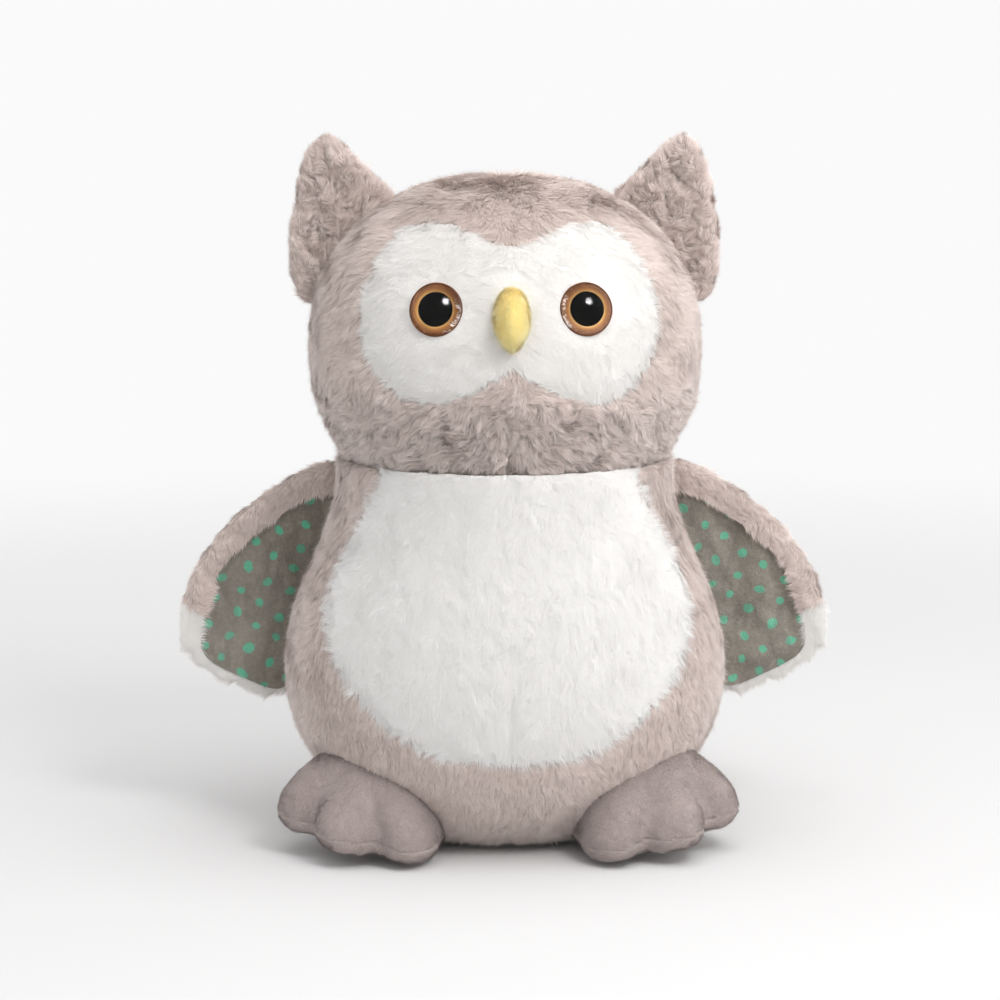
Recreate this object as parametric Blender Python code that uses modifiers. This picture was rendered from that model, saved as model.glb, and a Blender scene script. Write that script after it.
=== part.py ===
"""A sitting plush owl: sewn plush skins over fibre stuffing, on plastic safety eyes.

Its head turns and nods, its wings flap, its ears fold and its feet lift.
Metres, +Z up. The owl faces -Y and its own left side is at +X. The origin is the
middle of the base panel, on the surface that the owl sits on.
"""

import math

import bmesh
import bpy
from mathutils import Matrix, Vector

# Seams and fabrics
seam_gap = 0.0003
plush_thickness = 0.005
foot_velour_thickness = 0.002
beak_velour_thickness = 0.0012
lining_thickness = 0.0012
cutter_overrun = 0.040

# Body: a pear that is flat underneath
body_height = 0.202
body_half_width = 0.093
body_half_depth = 0.080
side_seam_y = 0.020
base_panel_radius = 0.047
base_panel_height = 0.010
body_segments = 24
# Height, half width and half depth of each level, from the bottom up
body_level_shares = (
    (0.0, 0.0, 0.0),
    (0.0, 0.27, 0.29),
    (0.0, 0.48, 0.46),
    (0.042, 0.68, 0.66),
    (0.128, 0.83, 0.85),
    (0.240, 0.965, 0.965),
    (0.365, 1.0, 1.0),
    (0.490, 0.945, 0.98),
    (0.615, 0.83, 0.93),
    (0.715, 0.765, 0.90),
    (0.810, 0.75, 0.885),
    (0.900, 0.67, 0.77),
    (0.960, 0.48, 0.56),
    (0.990, 0.24, 0.28),
    (1.0, 0.0, 0.0),
)

# White tummy panel: half outline on the front of the body, from its top middle down
tummy_half_width = 0.074
tummy_bottom_z = 0.043
tummy_top_z = 0.172
tummy_outline_shares = (
    (0.35, 1.0),
    (0.66, 0.94),
    (0.70, 0.86),
    (0.80, 0.74),
    (0.915, 0.60),
    (0.985, 0.49),
    (1.0, 0.41),
    (0.965, 0.32),
    (0.90, 0.245),
    (0.79, 0.175),
    (0.65, 0.105),
    (0.45, 0.045),
    (0.22, 0.01),
)
tummy_points = 30

# Pellet bag inside the bottom of the body
pellet_bag_radius = 0.034
pellet_bag_height = 0.026

# Head: a ball with a flatter crown and a slightly flattened face
head_radius = 0.0823
head_centre_z = 0.2055
head_crown_height = 0.0725
crown_power = 2.25
face_flattening = 0.004
face_level_share = 0.25
head_seam_y = 0.002
head_segments = 24
head_rings = 13

# Soft neck between body and head
neck_clearance = 0.0015
neck_opening_radius = 0.040
neck_wad_depth = 0.012
socket_segments = 24
socket_rings = 12

# White face panel: half outline on the front of the head, from its top middle down
face_half_width = 0.059
face_bottom_z = 0.190
face_top_z = 0.260
face_outline_shares = (
    (0.0, 0.886),
    (0.17, 0.92),
    (0.36, 0.985),
    (0.54, 1.0),
    (0.70, 0.955),
    (0.82, 0.85),
    (0.92, 0.71),
    (0.975, 0.585),
    (1.0, 0.44),
    (0.985, 0.32),
    (0.93, 0.215),
    (0.82, 0.095),
    (0.69, 0.022),
    (0.53, 0.0),
    (0.37, 0.03),
    (0.22, 0.09),
    (0.10, 0.15),
    (0.0, 0.20),
)
face_points = 40

# Round cutters
rod_segments = 24

# Eyes: a clear dome over a pupil and an iris disc in a cup with a shank
eye_side = 0.030
eye_height_z = 0.2275
eye_radius = 0.0120
eye_rim_width = 0.0007
eye_cup_height = 0.0030
eye_cup_floor = 0.0010
iris_thickness = 0.0008
pupil_radius = 0.0076
pupil_thickness = 0.0006
dome_height = 0.0058
dome_steps = 4
eye_seat_depth = 0.0032
eye_grip_thickness = 0.0014
eye_fit_gap = 0.0003
shank_radius = 0.0025
shank_length = 0.016
washer_radius = 0.0085
washer_thickness = 0.0018
eye_turn_steps = 16
turn_merge_distance = 0.00002

# Beak
beak_half_width = 0.0077
beak_half_height = 0.0132
beak_reach = 0.0150
beak_centre_z = 0.2240
beak_tip_narrowing = 0.45
beak_droop = 0.004
beak_segments = 12
beak_rings = 8

# Ears: outline in shares of the ear's width and height, round from the inner base
ear_inner_x = 0.043
ear_width = 0.049
ear_base_z = 0.2195
ear_height = 0.0750
ear_middle_y = 0.002
ear_half_thickness = 0.0105
ear_hollow = 0.0045
ear_skin_thickness = 0.0025
ear_outline_shares = (
    (0.0, 0.62),
    (0.18, 0.77),
    (0.38, 0.91),
    (0.54, 0.985),
    (0.67, 1.0),
    (0.81, 0.92),
    (0.90, 0.79),
    (0.97, 0.55),
    (1.0, 0.34),
    (0.96, 0.13),
    (0.80, 0.0),
    (0.46, 0.02),
    (0.12, 0.30),
)
ear_segments = 16
ear_rings = 7
ear_fold_angle = math.radians(15)
ear_base_direction_shares = (0.637, 0.772)

# Wings: outline in shares of the reach and the drop from the shoulder, which keeps to the body
shoulder_width_share = 0.688
shoulder_height_share = 0.792
wing_reach = 0.0762
wing_drop = 0.110
wing_half_thickness = 0.0072
wing_root_y = 0.022
wing_lean = 0.014
wing_cup = 0.006
wing_outline_shares = (
    (-0.03, 0.12),
    (0.06, 0.025),
    (0.22, 0.045),
    (0.385, 0.10),
    (0.56, 0.180),
    (0.72, 0.275),
    (0.85, 0.385),
    (0.945, 0.51),
    (1.0, 0.66),
    (0.965, 0.80),
    (0.82, 0.895),
    (0.62, 0.965),
    (0.42, 1.0),
    (0.30, 0.92),
    (0.20, 0.70),
    (0.10, 0.48),
    (0.0, 0.27),
)
wing_lining_shares = (
    (0.02, 0.20),
    (0.23, 0.185),
    (0.40, 0.255),
    (0.60, 0.36),
    (0.74, 0.46),
    (0.80, 0.58),
    (0.845, 0.71),
    (0.80, 0.80),
    (0.62, 0.87),
    (0.42, 0.93),
    (0.31, 0.86),
    (0.22, 0.68),
    (0.12, 0.48),
)
wing_tip_line_shares = ((1.0, 0.56), (0.30, 0.90))
wing_tip_span_shares = (-2.0, 2.0)
wing_segments = 20
wing_rings = 5
wing_forward_angle = math.radians(30)
wing_backward_angle = math.radians(45)
wing_hinge_top_shares = (0.045, 0.045)
wing_hinge_bottom_shares = (0.33, 0.89)
wing_hinge_y = 0.020

# Feet: outline in shares of the foot's half width and length, toes forward
foot_heel_x = 0.042
foot_heel_y = -0.012
foot_splay = math.radians(27)
foot_half_width = 0.0365
foot_length = 0.070
foot_heel_height = 0.053
foot_toe_height = 0.023
foot_rim_height = 0.010
foot_outer_rise = 0.011
foot_outline_shares = (
    (-0.45, -0.10),
    (0.0, -0.16),
    (0.45, -0.10),
    (0.84, 0.16),
    (0.95, 0.40),
    (1.0, 0.62),
    (0.90, 0.79),
    (0.64, 0.84),
    (0.43, 0.80),
    (0.27, 0.93),
    (0.0, 1.0),
    (-0.27, 0.93),
    (-0.43, 0.81),
    (-0.64, 0.87),
    (-0.90, 0.82),
    (-1.0, 0.64),
    (-0.88, 0.40),
    (-0.76, 0.16),
)
foot_segments = 28
foot_rings = 7
foot_hinge_reach = 0.038
foot_hinge_z = 0.048

# Finishes: colour, roughness
grey_plush = ((0.40, 0.34, 0.32), 0.95)
white_plush = ((0.86, 0.84, 0.81), 0.95)
grey_velour = ((0.34, 0.29, 0.27), 0.85)
yellow_velour = ((0.95, 0.66, 0.18), 0.85)
dotted_lining = ((0.22, 0.21, 0.17), 0.80)
fibre = ((0.88, 0.88, 0.86), 1.0)
pellet_cloth = ((0.75, 0.73, 0.68), 0.9)
clear_plastic = ((0.90, 0.90, 0.90), 0.05)
black_plastic = ((0.01, 0.01, 0.01), 0.15)
amber_paint = ((0.45, 0.20, 0.05), 0.3)
dark_plastic = ((0.06, 0.03, 0.02), 0.35)
washer_plastic = ((0.80, 0.80, 0.78), 0.5)

HALF_TURN = math.pi
FULL_TURN = math.tau

head_centre = Vector((0, 0, head_centre_z))
socket_radius = head_radius + neck_clearance
shoulder_x = body_half_width * shoulder_width_share
shoulder_z = body_height * shoulder_height_share


# Tools for soft forms

def clear_scene():
    for old in list(bpy.data.objects):
        bpy.data.objects.remove(old, do_unlink=True)


def new_group(name):
    group = bpy.data.collections.new(name)
    bpy.context.scene.collection.children.link(group)
    return group


def finish(name, look):
    colour, roughness = look
    material = bpy.data.materials.new(name)
    material.use_nodes = True
    shader = material.node_tree.nodes["Principled BSDF"]
    shader.inputs["Base Color"].default_value = (*colour, 1.0)
    shader.inputs["Roughness"].default_value = roughness
    shader.inputs["Metallic"].default_value = 0.0
    return material


def mesh_object(name, mesh, group):
    thing = bpy.data.objects.new(name, mesh)
    group.objects.link(thing)
    return thing


def hide_cutter(thing):
    thing.hide_render = True
    thing.display_type = "WIRE"
    return thing


def cutter_from(name, shape):
    """Turn a bmesh into a cutter whose faces point outwards."""
    bmesh.ops.recalc_face_normals(shape, faces=shape.faces)
    if shape.calc_volume(signed=True) < 0:
        bmesh.ops.reverse_faces(shape, faces=shape.faces)
    mesh = bpy.data.meshes.new(name)
    shape.to_mesh(mesh)
    shape.free()
    return hide_cutter(mesh_object(name, mesh, cutters))


def reshaped_ball(name, segments, rings, place):
    """A ball of flat triangles with its points where place(azimuth, polar) says, bottom at polar 0."""
    ball = bmesh.new()
    bmesh.ops.create_uvsphere(ball, u_segments=segments, v_segments=rings, radius=1)
    for point in ball.verts:
        polar = math.acos(max(-1, min(1, -point.co.z)))
        azimuth = math.atan2(point.co.y, point.co.x)
        point.co = place(azimuth, polar)
    bmesh.ops.triangulate(ball, faces=ball.faces)
    return cutter_from(name, ball)


def offset_form(form, name, distance):
    """A copy of a closed form, moved inwards by distance, or outwards if it is negative."""
    copy = bmesh.new()
    copy.from_mesh(form.data)
    copy.normal_update()
    moves = {point: point.normal * distance * point.calc_shell_factor() for point in copy.verts}
    for point, move in moves.items():
        point.co -= move
    return cutter_from(name, copy)


def prism(name, loop, place, low, high):
    """A flat loop of points drawn out between two depths; place(u, v, depth) gives a point."""
    shape = bmesh.new()
    near = [shape.verts.new(place(u, v, low)) for u, v in loop]
    face = shape.faces.new(near)
    drawn = bmesh.ops.extrude_face_region(shape, geom=[face])
    far = [item for item in drawn["geom"] if isinstance(item, bmesh.types.BMVert)]
    shift = place(0, 0, high) - place(0, 0, low)
    bmesh.ops.translate(shape, verts=far, vec=shift)
    return cutter_from(name, shape)


def block(name, low, high):
    shape = bmesh.new()
    bmesh.ops.create_cube(shape, size=1)
    for point in shape.verts:
        shares = [value + 1 / 2 for value in point.co]
        point.co = [a + (b - a) * share for a, b, share in zip(low, high, shares)]
    return cutter_from(name, shape)


def rod(name, radius, length, frame, segments=rod_segments):
    """A cylinder along the frame's Z axis, from its origin to length."""
    shape = bmesh.new()
    lift = Matrix.Translation((0, 0, length / 2))
    bmesh.ops.create_cone(
        shape, cap_ends=True, segments=segments, radius1=radius, radius2=radius,
        depth=length, matrix=frame @ lift)
    return cutter_from(name, shape)


def smooth_loop(points, count):
    """Evenly stepped points on a closed curve that passes through every given point."""
    total = len(points)
    loop = []
    for step in range(count):
        travel = step * total / count
        first = int(travel)
        t = travel - first
        before, start, end, after = (Vector(points[(first + shift) % total]) for shift in (-1, 0, 1, 2))
        bend = 2 * before - 5 * start + 4 * end - after
        swing = 3 * (start - end) + after - before
        loop.append((2 * start + (end - before) * t + bend * t ** 2 + swing * t ** 3) / 2)
    return loop


def grown_loop(loop, distance):
    """The same loop with each point moved outwards, square to its neighbours, by distance."""
    area = sum(a.x * b.y - b.x * a.y for a, b in zip(loop, loop[1:] + loop[:1]))
    outward = distance if area > 0 else -distance
    grown = []
    for before, point, after in zip(loop[-1:] + loop[:-1], loop, loop[1:] + loop[:1]):
        along = (after - before).normalized()
        grown.append(point + outward * Vector((along.y, -along.x)))
    return grown


def mirrored_outline(half_shares, half_width, low, high):
    """A whole outline from its right half, given from the top middle down, in the XZ plane."""
    right = [(x * half_width, low + (high - low) * z) for x, z in half_shares]
    left = [(-x, z) for x, z in reversed(right) if x > 0]
    return right + left


def moved_copy(form, name, move):
    copy = bmesh.new()
    copy.from_mesh(form.data)
    copy.transform(move)
    return cutter_from(name, copy)


def turn_about(pivot, axis, angle):
    return Matrix.Translation(pivot) @ Matrix.Rotation(angle, 4, axis) @ Matrix.Translation(-pivot)


def upright(x, z, depth):
    """Where a point of a front outline lies, at a depth towards the back."""
    return Vector((x, depth, z))


# Pieces and cuts

def piece(name, form, look, joint=None):
    """A visible part that starts as a copy of a form and moves with a joint's empty."""
    thing = mesh_object(name, form.data.copy(), parts)
    thing.data.materials.clear()
    thing.data.materials.append(finish(name, look))
    if joint is not None:
        thing.parent = joint
        thing.matrix_parent_inverse = joint.matrix_world.inverted()
    return thing


def cut(thing, operation, *tools):
    for tool in tools:
        step = thing.modifiers.new(tool.name, "BOOLEAN")
        step.operation = operation
        step.solver = "EXACT"
        step.object = tool
    return thing


def remove(thing, *tools):
    return cut(thing, "DIFFERENCE", *tools)


def keep(thing, *tools):
    return cut(thing, "INTERSECT", *tools)


def room(name, *tools):
    """A group of cutters whose whole space is taken out of a piece in one cut."""
    group = bpy.data.collections.new(name)
    bpy.context.scene.collection.children.link(group)
    for tool in tools:
        group.objects.link(tool)
        cutters.objects.unlink(tool)
    return group


def clear_room(thing, group):
    step = thing.modifiers.new(group.name, "BOOLEAN")
    step.operation = "DIFFERENCE"
    step.solver = "EXACT"
    step.operand_type = "COLLECTION"
    step.collection = group
    return thing


def joint_empty(name, place, parent=None):
    """An empty on a joint's axis that carries the pieces which move with it."""
    empty = bpy.data.objects.new(name, None)
    empty.matrix_world = Matrix.Translation(place)
    parts.objects.link(empty)
    if parent is not None:
        empty.parent = parent
        empty.matrix_parent_inverse = parent.matrix_world.inverted()
    bpy.context.view_layer.update()
    return empty


# Forms

def body_place(azimuth, polar):
    azimuth += HALF_TURN / body_segments
    level = round(polar / HALF_TURN * (len(body_level_shares) - 1))
    height, width, depth = body_level_shares[level]
    x = body_half_width * width * math.cos(azimuth)
    y = body_half_depth * depth * math.sin(azimuth)
    return Vector((x, y, body_height * height))


def socket_place(azimuth, polar):
    out = math.sin(polar)
    toward = Vector((out * math.cos(azimuth), out * math.sin(azimuth), -math.cos(polar)))
    return head_centre + socket_radius * toward


def head_place(azimuth, polar):
    azimuth += HALF_TURN / head_segments
    up = -math.cos(polar)
    out = math.sin(polar)
    rise = head_radius * up
    if up > 0:
        out = (1 - up ** crown_power) ** (1 / crown_power)
        rise = head_crown_height * up
    x = head_radius * out * math.cos(azimuth)
    y = head_radius * out * math.sin(azimuth)
    level = max(0, min(1, (up + face_level_share) / (2 * face_level_share)))
    facing = level * (max(0, -math.sin(azimuth)) * out) ** 2
    return head_centre + Vector((x, y + face_flattening * facing, rise))


def pillow(name, loop, rings, surface, place):
    """A padded form whose rim follows a loop of 4, 8, 12 or more points in fours.

    surface(point, share, facing) gives the depth of a point; facing is 1 in front and -1 behind.
    """
    middle = sum(loop, Vector((0, 0))) / len(loop)
    count = len(loop)

    def put(azimuth, polar):
        step = round(azimuth / FULL_TURN * count) % count
        share = math.sin(polar)
        point = middle + (loop[step] - middle) * share
        return place(point.x, point.y, surface(point, share, -math.cos(polar)))

    return reshaped_ball(name, count, rings, put)


# Body

def make_body():
    rings = len(body_level_shares) - 1
    form = reshaped_ball("body_form", body_segments, rings, body_place)
    core = offset_form(form, "body_core", plush_thickness)
    fill = offset_form(form, "body_fill", plush_thickness + seam_gap)
    socket = reshaped_ball("neck_socket", socket_segments, socket_rings, socket_place)
    reach = body_half_width + cutter_overrun
    top = body_height + cutter_overrun
    half_gap = seam_gap / 2

    def region(name, side, back):
        x_low, x_high = sorted((side * half_gap, side * reach))
        y_low = side_seam_y + half_gap if back else -reach
        y_high = reach if back else side_seam_y - half_gap
        return block(name, (x_low, y_low, -cutter_overrun), (x_high, y_high, top))

    outline = mirrored_outline(tummy_outline_shares, tummy_half_width, tummy_bottom_z, tummy_top_z)
    loop = smooth_loop(outline, tummy_points)
    patch = prism("tummy_cutter", loop, upright, -reach, 0)
    hole = prism("tummy_hole", grown_loop(loop, seam_gap), upright, -reach, 0)

    base_frame = Matrix.Translation((0, 0, -cutter_overrun))
    base_depth = cutter_overrun + base_panel_height
    base_plug = rod("base_plug", base_panel_radius, base_depth, base_frame)
    base_hole = rod("base_hole", base_panel_radius + seam_gap, base_depth + seam_gap, base_frame)

    for word, side in sides:
        front = piece("body_front_" + word, form, grey_plush)
        remove(front, core)
        keep(front, region("body_front_region_" + word, side, False))
        remove(front, hole, base_hole, socket)
        back = piece("body_back_" + word, form, grey_plush)
        remove(back, core)
        keep(back, region("body_back_region_" + word, side, True))
        remove(back, base_hole, socket)
    tummy = piece("tummy_panel", form, white_plush)
    remove(tummy, core)
    keep(tummy, patch)
    remove(tummy, socket)
    base = piece("base_panel", form, grey_velour)
    remove(base, core)
    keep(base, base_plug)

    # The pellet bag lies on the base panel, in a hollow of the stuffing.
    bag_frame = Matrix.Translation((0, 0, plush_thickness + seam_gap))
    bag_form = rod("pellet_bag_form", pellet_bag_radius, pellet_bag_height, bag_frame)
    hollow_frame = bag_frame @ Matrix.Translation((0, 0, -cutter_overrun))
    hollow_height = cutter_overrun + pellet_bag_height + 2 * seam_gap
    bag_hollow = rod("pellet_bag_hollow", pellet_bag_radius + seam_gap, hollow_height, hollow_frame)
    piece("pellet_bag", bag_form, pellet_cloth)

    # The wad of fibre in the neck is a short plug under the head, hollowed by the socket.
    down = Matrix.Translation(head_centre) @ Matrix.Rotation(HALF_TURN, 4, "X")
    wad_length = socket_radius + neck_wad_depth
    wad_plug = rod("neck_wad_plug", neck_opening_radius, wad_length, down)
    wad_hole = rod("neck_wad_hole", neck_opening_radius + neck_clearance, wad_length + seam_gap, down)
    remove(piece("neck_stuffing", wad_plug, fibre, joints["neck"]), socket)

    stuffing = piece("body_stuffing", fill, fibre)
    remove(stuffing, socket, wad_hole, bag_hollow)
    return form


# Head

def make_head():
    form = reshaped_ball("head_form", head_segments, head_rings, head_place)
    core = offset_form(form, "head_core", plush_thickness)
    fill = offset_form(form, "head_fill", plush_thickness + seam_gap)
    reach = head_radius + cutter_overrun
    half_gap = seam_gap / 2

    def region(name, side, back):
        x_low, x_high = sorted((side * half_gap, side * reach))
        y_low = head_seam_y + half_gap if back else -reach
        y_high = reach if back else head_seam_y - half_gap
        return block(name, (x_low, y_low, head_centre_z - reach), (x_high, y_high, head_centre_z + reach))

    outline = mirrored_outline(face_outline_shares, face_half_width, face_bottom_z, face_top_z)
    loop = smooth_loop(outline, face_points)
    patch = prism("face_cutter", loop, upright, -reach, 0)
    hole = prism("face_hole", grown_loop(loop, seam_gap), upright, -reach, 0)

    down = Matrix.Translation(head_centre) @ Matrix.Rotation(HALF_TURN, 4, "X")
    opening = rod("neck_opening", neck_opening_radius, reach, down)
    plug = rod("neck_plug", neck_opening_radius - seam_gap, reach, down)

    head = joints["head"]
    for word, side in sides:
        front = piece("head_front_" + word, form, grey_plush, head)
        remove(front, core)
        keep(front, region("head_front_region_" + word, side, False))
        remove(front, hole, opening)
        back = piece("head_back_" + word, form, grey_plush, head)
        remove(back, core)
        keep(back, region("head_back_region_" + word, side, True))
        remove(back, opening)
    face = piece("face_panel", form, white_plush, head)
    remove(face, core)
    keep(face, patch)

    # The stuffing fills the neck opening too, flush with the skin round it.
    bulge = piece("neck_bulge", form, fibre)
    keep(bulge, plug)
    cutters.objects.link(bulge)
    parts.objects.unlink(bulge)
    hide_cutter(bulge)
    stuffing = piece("head_stuffing", fill, fibre, head)
    cut(stuffing, "UNION", bulge)
    make_eyes(form, face, stuffing)
    return form


def front_point(form, x, z):
    """The point of a form's front surface at a place seen from the front, and its normal."""
    start = Vector((x, -head_radius - cutter_overrun, z))
    _, place, normal, _ = form.ray_cast(start, Vector((0, 1, 0)))
    return place, normal


def turned(name, profile, frame, look, joint):
    """A turned piece: a profile of radius and height, from the outer top down, about the frame's Z.

    A profile that stays clear of the axis ends where it starts, and is joined up there.
    """
    mesh = bpy.data.meshes.new(name)
    ring = profile[0] == profile[-1]
    points = profile[:-1] if ring else profile
    edges = [(step, (step + 1) % len(points)) for step in range(len(profile) - 1)]
    mesh.from_pydata([(radius, 0, height) for radius, height in points], edges, [])
    thing = mesh_object(name, mesh, parts)
    thing.data.materials.append(finish(name, look))
    screw = thing.modifiers.new("turn", "SCREW")
    screw.steps = eye_turn_steps
    screw.render_steps = eye_turn_steps
    screw.use_merge_vertices = True
    screw.merge_threshold = turn_merge_distance
    screw.use_smooth_shade = True
    thing.parent = joint
    thing.matrix_parent_inverse = joint.matrix_world.inverted()
    thing.matrix_basis = frame
    return thing


def make_eyes(form, face, stuffing):
    dome_base = eye_cup_floor + eye_fit_gap + iris_thickness + eye_fit_gap
    inner_radius = eye_radius - eye_rim_width
    dome_radius = inner_radius - eye_fit_gap
    hole_radius = shank_radius + eye_fit_gap
    pupil_hollow = pupil_radius + eye_fit_gap
    pupil_top = dome_base + pupil_thickness + eye_fit_gap
    for word, side in sides:
        place, normal = front_point(form, side * eye_side, eye_height_z)
        turn = normal.to_track_quat("Z", "Y").to_matrix().to_4x4()
        frame = Matrix.Translation(place - normal * (eye_seat_depth - eye_fit_gap)) @ turn
        inward = frame @ Matrix.Rotation(HALF_TURN, 4, "X")

        lowered = frame @ Matrix.Translation((0, 0, -eye_fit_gap))
        behind_grip = inward @ Matrix.Translation((0, 0, eye_grip_thickness + eye_fit_gap))
        washer_room = washer_radius + eye_fit_gap
        pocket_depth = shank_length + 2 * eye_fit_gap
        washer_top = -(eye_grip_thickness + 2 * eye_fit_gap)

        def round_cutter(label, radius, length, place):
            return rod(f"eye_{label}_{word}", radius, length, place, eye_turn_steps)

        seat = round_cutter("seat", eye_radius + eye_fit_gap, cutter_overrun, lowered)
        shank_hole = round_cutter("shank_hole", hole_radius, cutter_overrun, inward)
        washer_seat = round_cutter("washer_seat", washer_room, cutter_overrun, behind_grip)
        remove(face, seat, shank_hole, washer_seat)
        remove(stuffing, round_cutter("pocket", washer_room, pocket_depth, inward))

        rim = eye_cup_height
        cup = [(0, eye_cup_floor), (inner_radius, eye_cup_floor), (inner_radius, rim), (eye_radius, rim),
               (eye_radius, 0), (shank_radius, 0), (shank_radius, -shank_length), (0, -shank_length)]
        turned("eye_cup_" + word, cup, frame, dark_plastic, joints["head"])
        iris_low = eye_cup_floor + eye_fit_gap
        iris_high = iris_low + iris_thickness
        iris = [(0, iris_high), (dome_radius, iris_high), (dome_radius, iris_low), (0, iris_low)]
        turned("eye_iris_" + word, iris, frame, amber_paint, joints["head"])
        pupil = [(0, dome_base + pupil_thickness), (pupil_radius, dome_base + pupil_thickness),
                 (pupil_radius, dome_base), (0, dome_base)]
        turned("eye_pupil_" + word, pupil, frame, black_plastic, joints["head"])
        dome = []
        dome_rim = dome_base + eye_fit_gap
        for step in range(dome_steps + 1):
            angle = HALF_TURN / 2 * (1 - step / dome_steps)
            dome.append((dome_radius * math.cos(angle), dome_rim + dome_height * math.sin(angle)))
        dome += [(dome_radius, dome_base), (pupil_hollow, dome_base),
                 (pupil_hollow, pupil_top), (0, pupil_top)]
        turned("eye_lens_" + word, dome, frame, clear_plastic, joints["head"])
        washer_low = washer_top - washer_thickness
        washer = [(hole_radius, washer_top), (washer_radius, washer_top), (washer_radius, washer_low),
                  (hole_radius, washer_low), (hole_radius, washer_top)]
        turned("eye_washer_" + word, washer, frame, washer_plastic, joints["head"])


# Beak

def make_beak(head_form):
    place, _ = front_point(head_form, 0, beak_centre_z)

    def egg(azimuth, polar):
        x = math.sin(polar) * math.cos(azimuth)
        y = math.sin(polar) * math.sin(azimuth)
        z = -math.cos(polar)
        slim = 1 - beak_tip_narrowing * max(0, -z) ** 2
        height = beak_half_height * z - beak_droop * max(0, -y)
        return place + Vector((beak_half_width * slim * x, beak_reach * slim * y, height))

    form = reshaped_ball("beak_form", beak_segments, beak_rings, egg)
    core = offset_form(form, "beak_core", beak_velour_thickness)
    fill = offset_form(form, "beak_fill", beak_velour_thickness + seam_gap)
    seat = offset_form(head_form, "beak_seat", -seam_gap)
    remove(piece("beak_cover", form, yellow_velour, joints["head"]), core, seat)
    remove(piece("beak_stuffing", fill, fibre, joints["head"]), seat)


# Ears

def make_ear(word, side, head_form):
    loop = smooth_loop([
        Vector((side * (ear_inner_x + ear_width * u), ear_base_z + ear_height * v))
        for u, v in ear_outline_shares], ear_segments)

    def surface(point, share, facing):
        hollow = ear_hollow * (1 - share ** 2) if facing > 0 else 0
        return ear_middle_y + hollow - ear_half_thickness * facing

    form = pillow("ear_form_" + word, loop, ear_rings, surface, upright)
    core = offset_form(form, "ear_core_" + word, ear_skin_thickness)
    fill = offset_form(form, "ear_fill_" + word, ear_skin_thickness + seam_gap)
    pivot, axis = ear_hinge(side)
    seat = offset_form(head_form, "ear_seat_" + word, -seam_gap)
    forward_seat = moved_copy(seat, "ear_seat_forward_" + word, turn_about(pivot, axis, -ear_fold_angle))
    backward_seat = moved_copy(seat, "ear_seat_backward_" + word, turn_about(pivot, axis, ear_fold_angle))
    head_room = room("ear_head_room_" + word, seat, forward_seat, backward_seat)
    reach = ear_height + cutter_overrun
    x_low, x_high = sorted((0, side * (ear_inner_x + ear_width + cutter_overrun)))
    low = ear_base_z - cutter_overrun
    high = ear_base_z + reach
    seam = ear_middle_y
    front_half = block(
        "ear_front_region_" + word, (x_low, -reach, low), (x_high, seam - seam_gap / 2, high))
    back_half = block(
        "ear_back_region_" + word, (x_low, seam + seam_gap / 2, low), (x_high, reach, high))
    joint = joints["ear_" + word]
    for name, half in (("ear_front_", front_half), ("ear_back_", back_half)):
        panel = piece(name + word, form, grey_plush, joint)
        remove(panel, core)
        keep(panel, half)
        clear_room(panel, head_room)
    clear_room(piece("ear_stuffing_" + word, fill, fibre, joint), head_room)


def ear_hinge(side):
    """The ear folds about the line of its base seam, which touches the head at its middle."""
    along, down = ear_base_direction_shares
    outward = Vector((side * down, 0, along))
    pivot = head_centre + outward * (head_radius + head_crown_height) / 2
    axis = Vector((along, 0, -side * down))
    return pivot, axis


# Wings

def wing_loop(shares):
    return smooth_loop([Vector((wing_reach * u, wing_drop * v)) for u, v in shares], wing_segments)


def wing_point(side, out, down, depth):
    """A point of a wing from its distances outwards and down from the shoulder, and towards the back."""
    u = out / wing_reach
    v = down / wing_drop
    lean = -wing_lean * u + wing_cup * (1 - (2 * u - 1) ** 2) * (1 - (2 * v - 1) ** 2)
    return Vector((side * (shoulder_x + out), wing_root_y + lean + depth, shoulder_z - down))


def wing_hinge(side):
    top_u, top_v = wing_hinge_top_shares
    low_u, low_v = wing_hinge_bottom_shares
    top = wing_point(side, top_u * wing_reach, top_v * wing_drop, 0)
    low = wing_point(side, low_u * wing_reach, low_v * wing_drop, 0)
    top.y = wing_hinge_y
    low.y = wing_hinge_y
    axis = (low - top).normalized() * side
    return (top + low) / 2, axis


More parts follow.
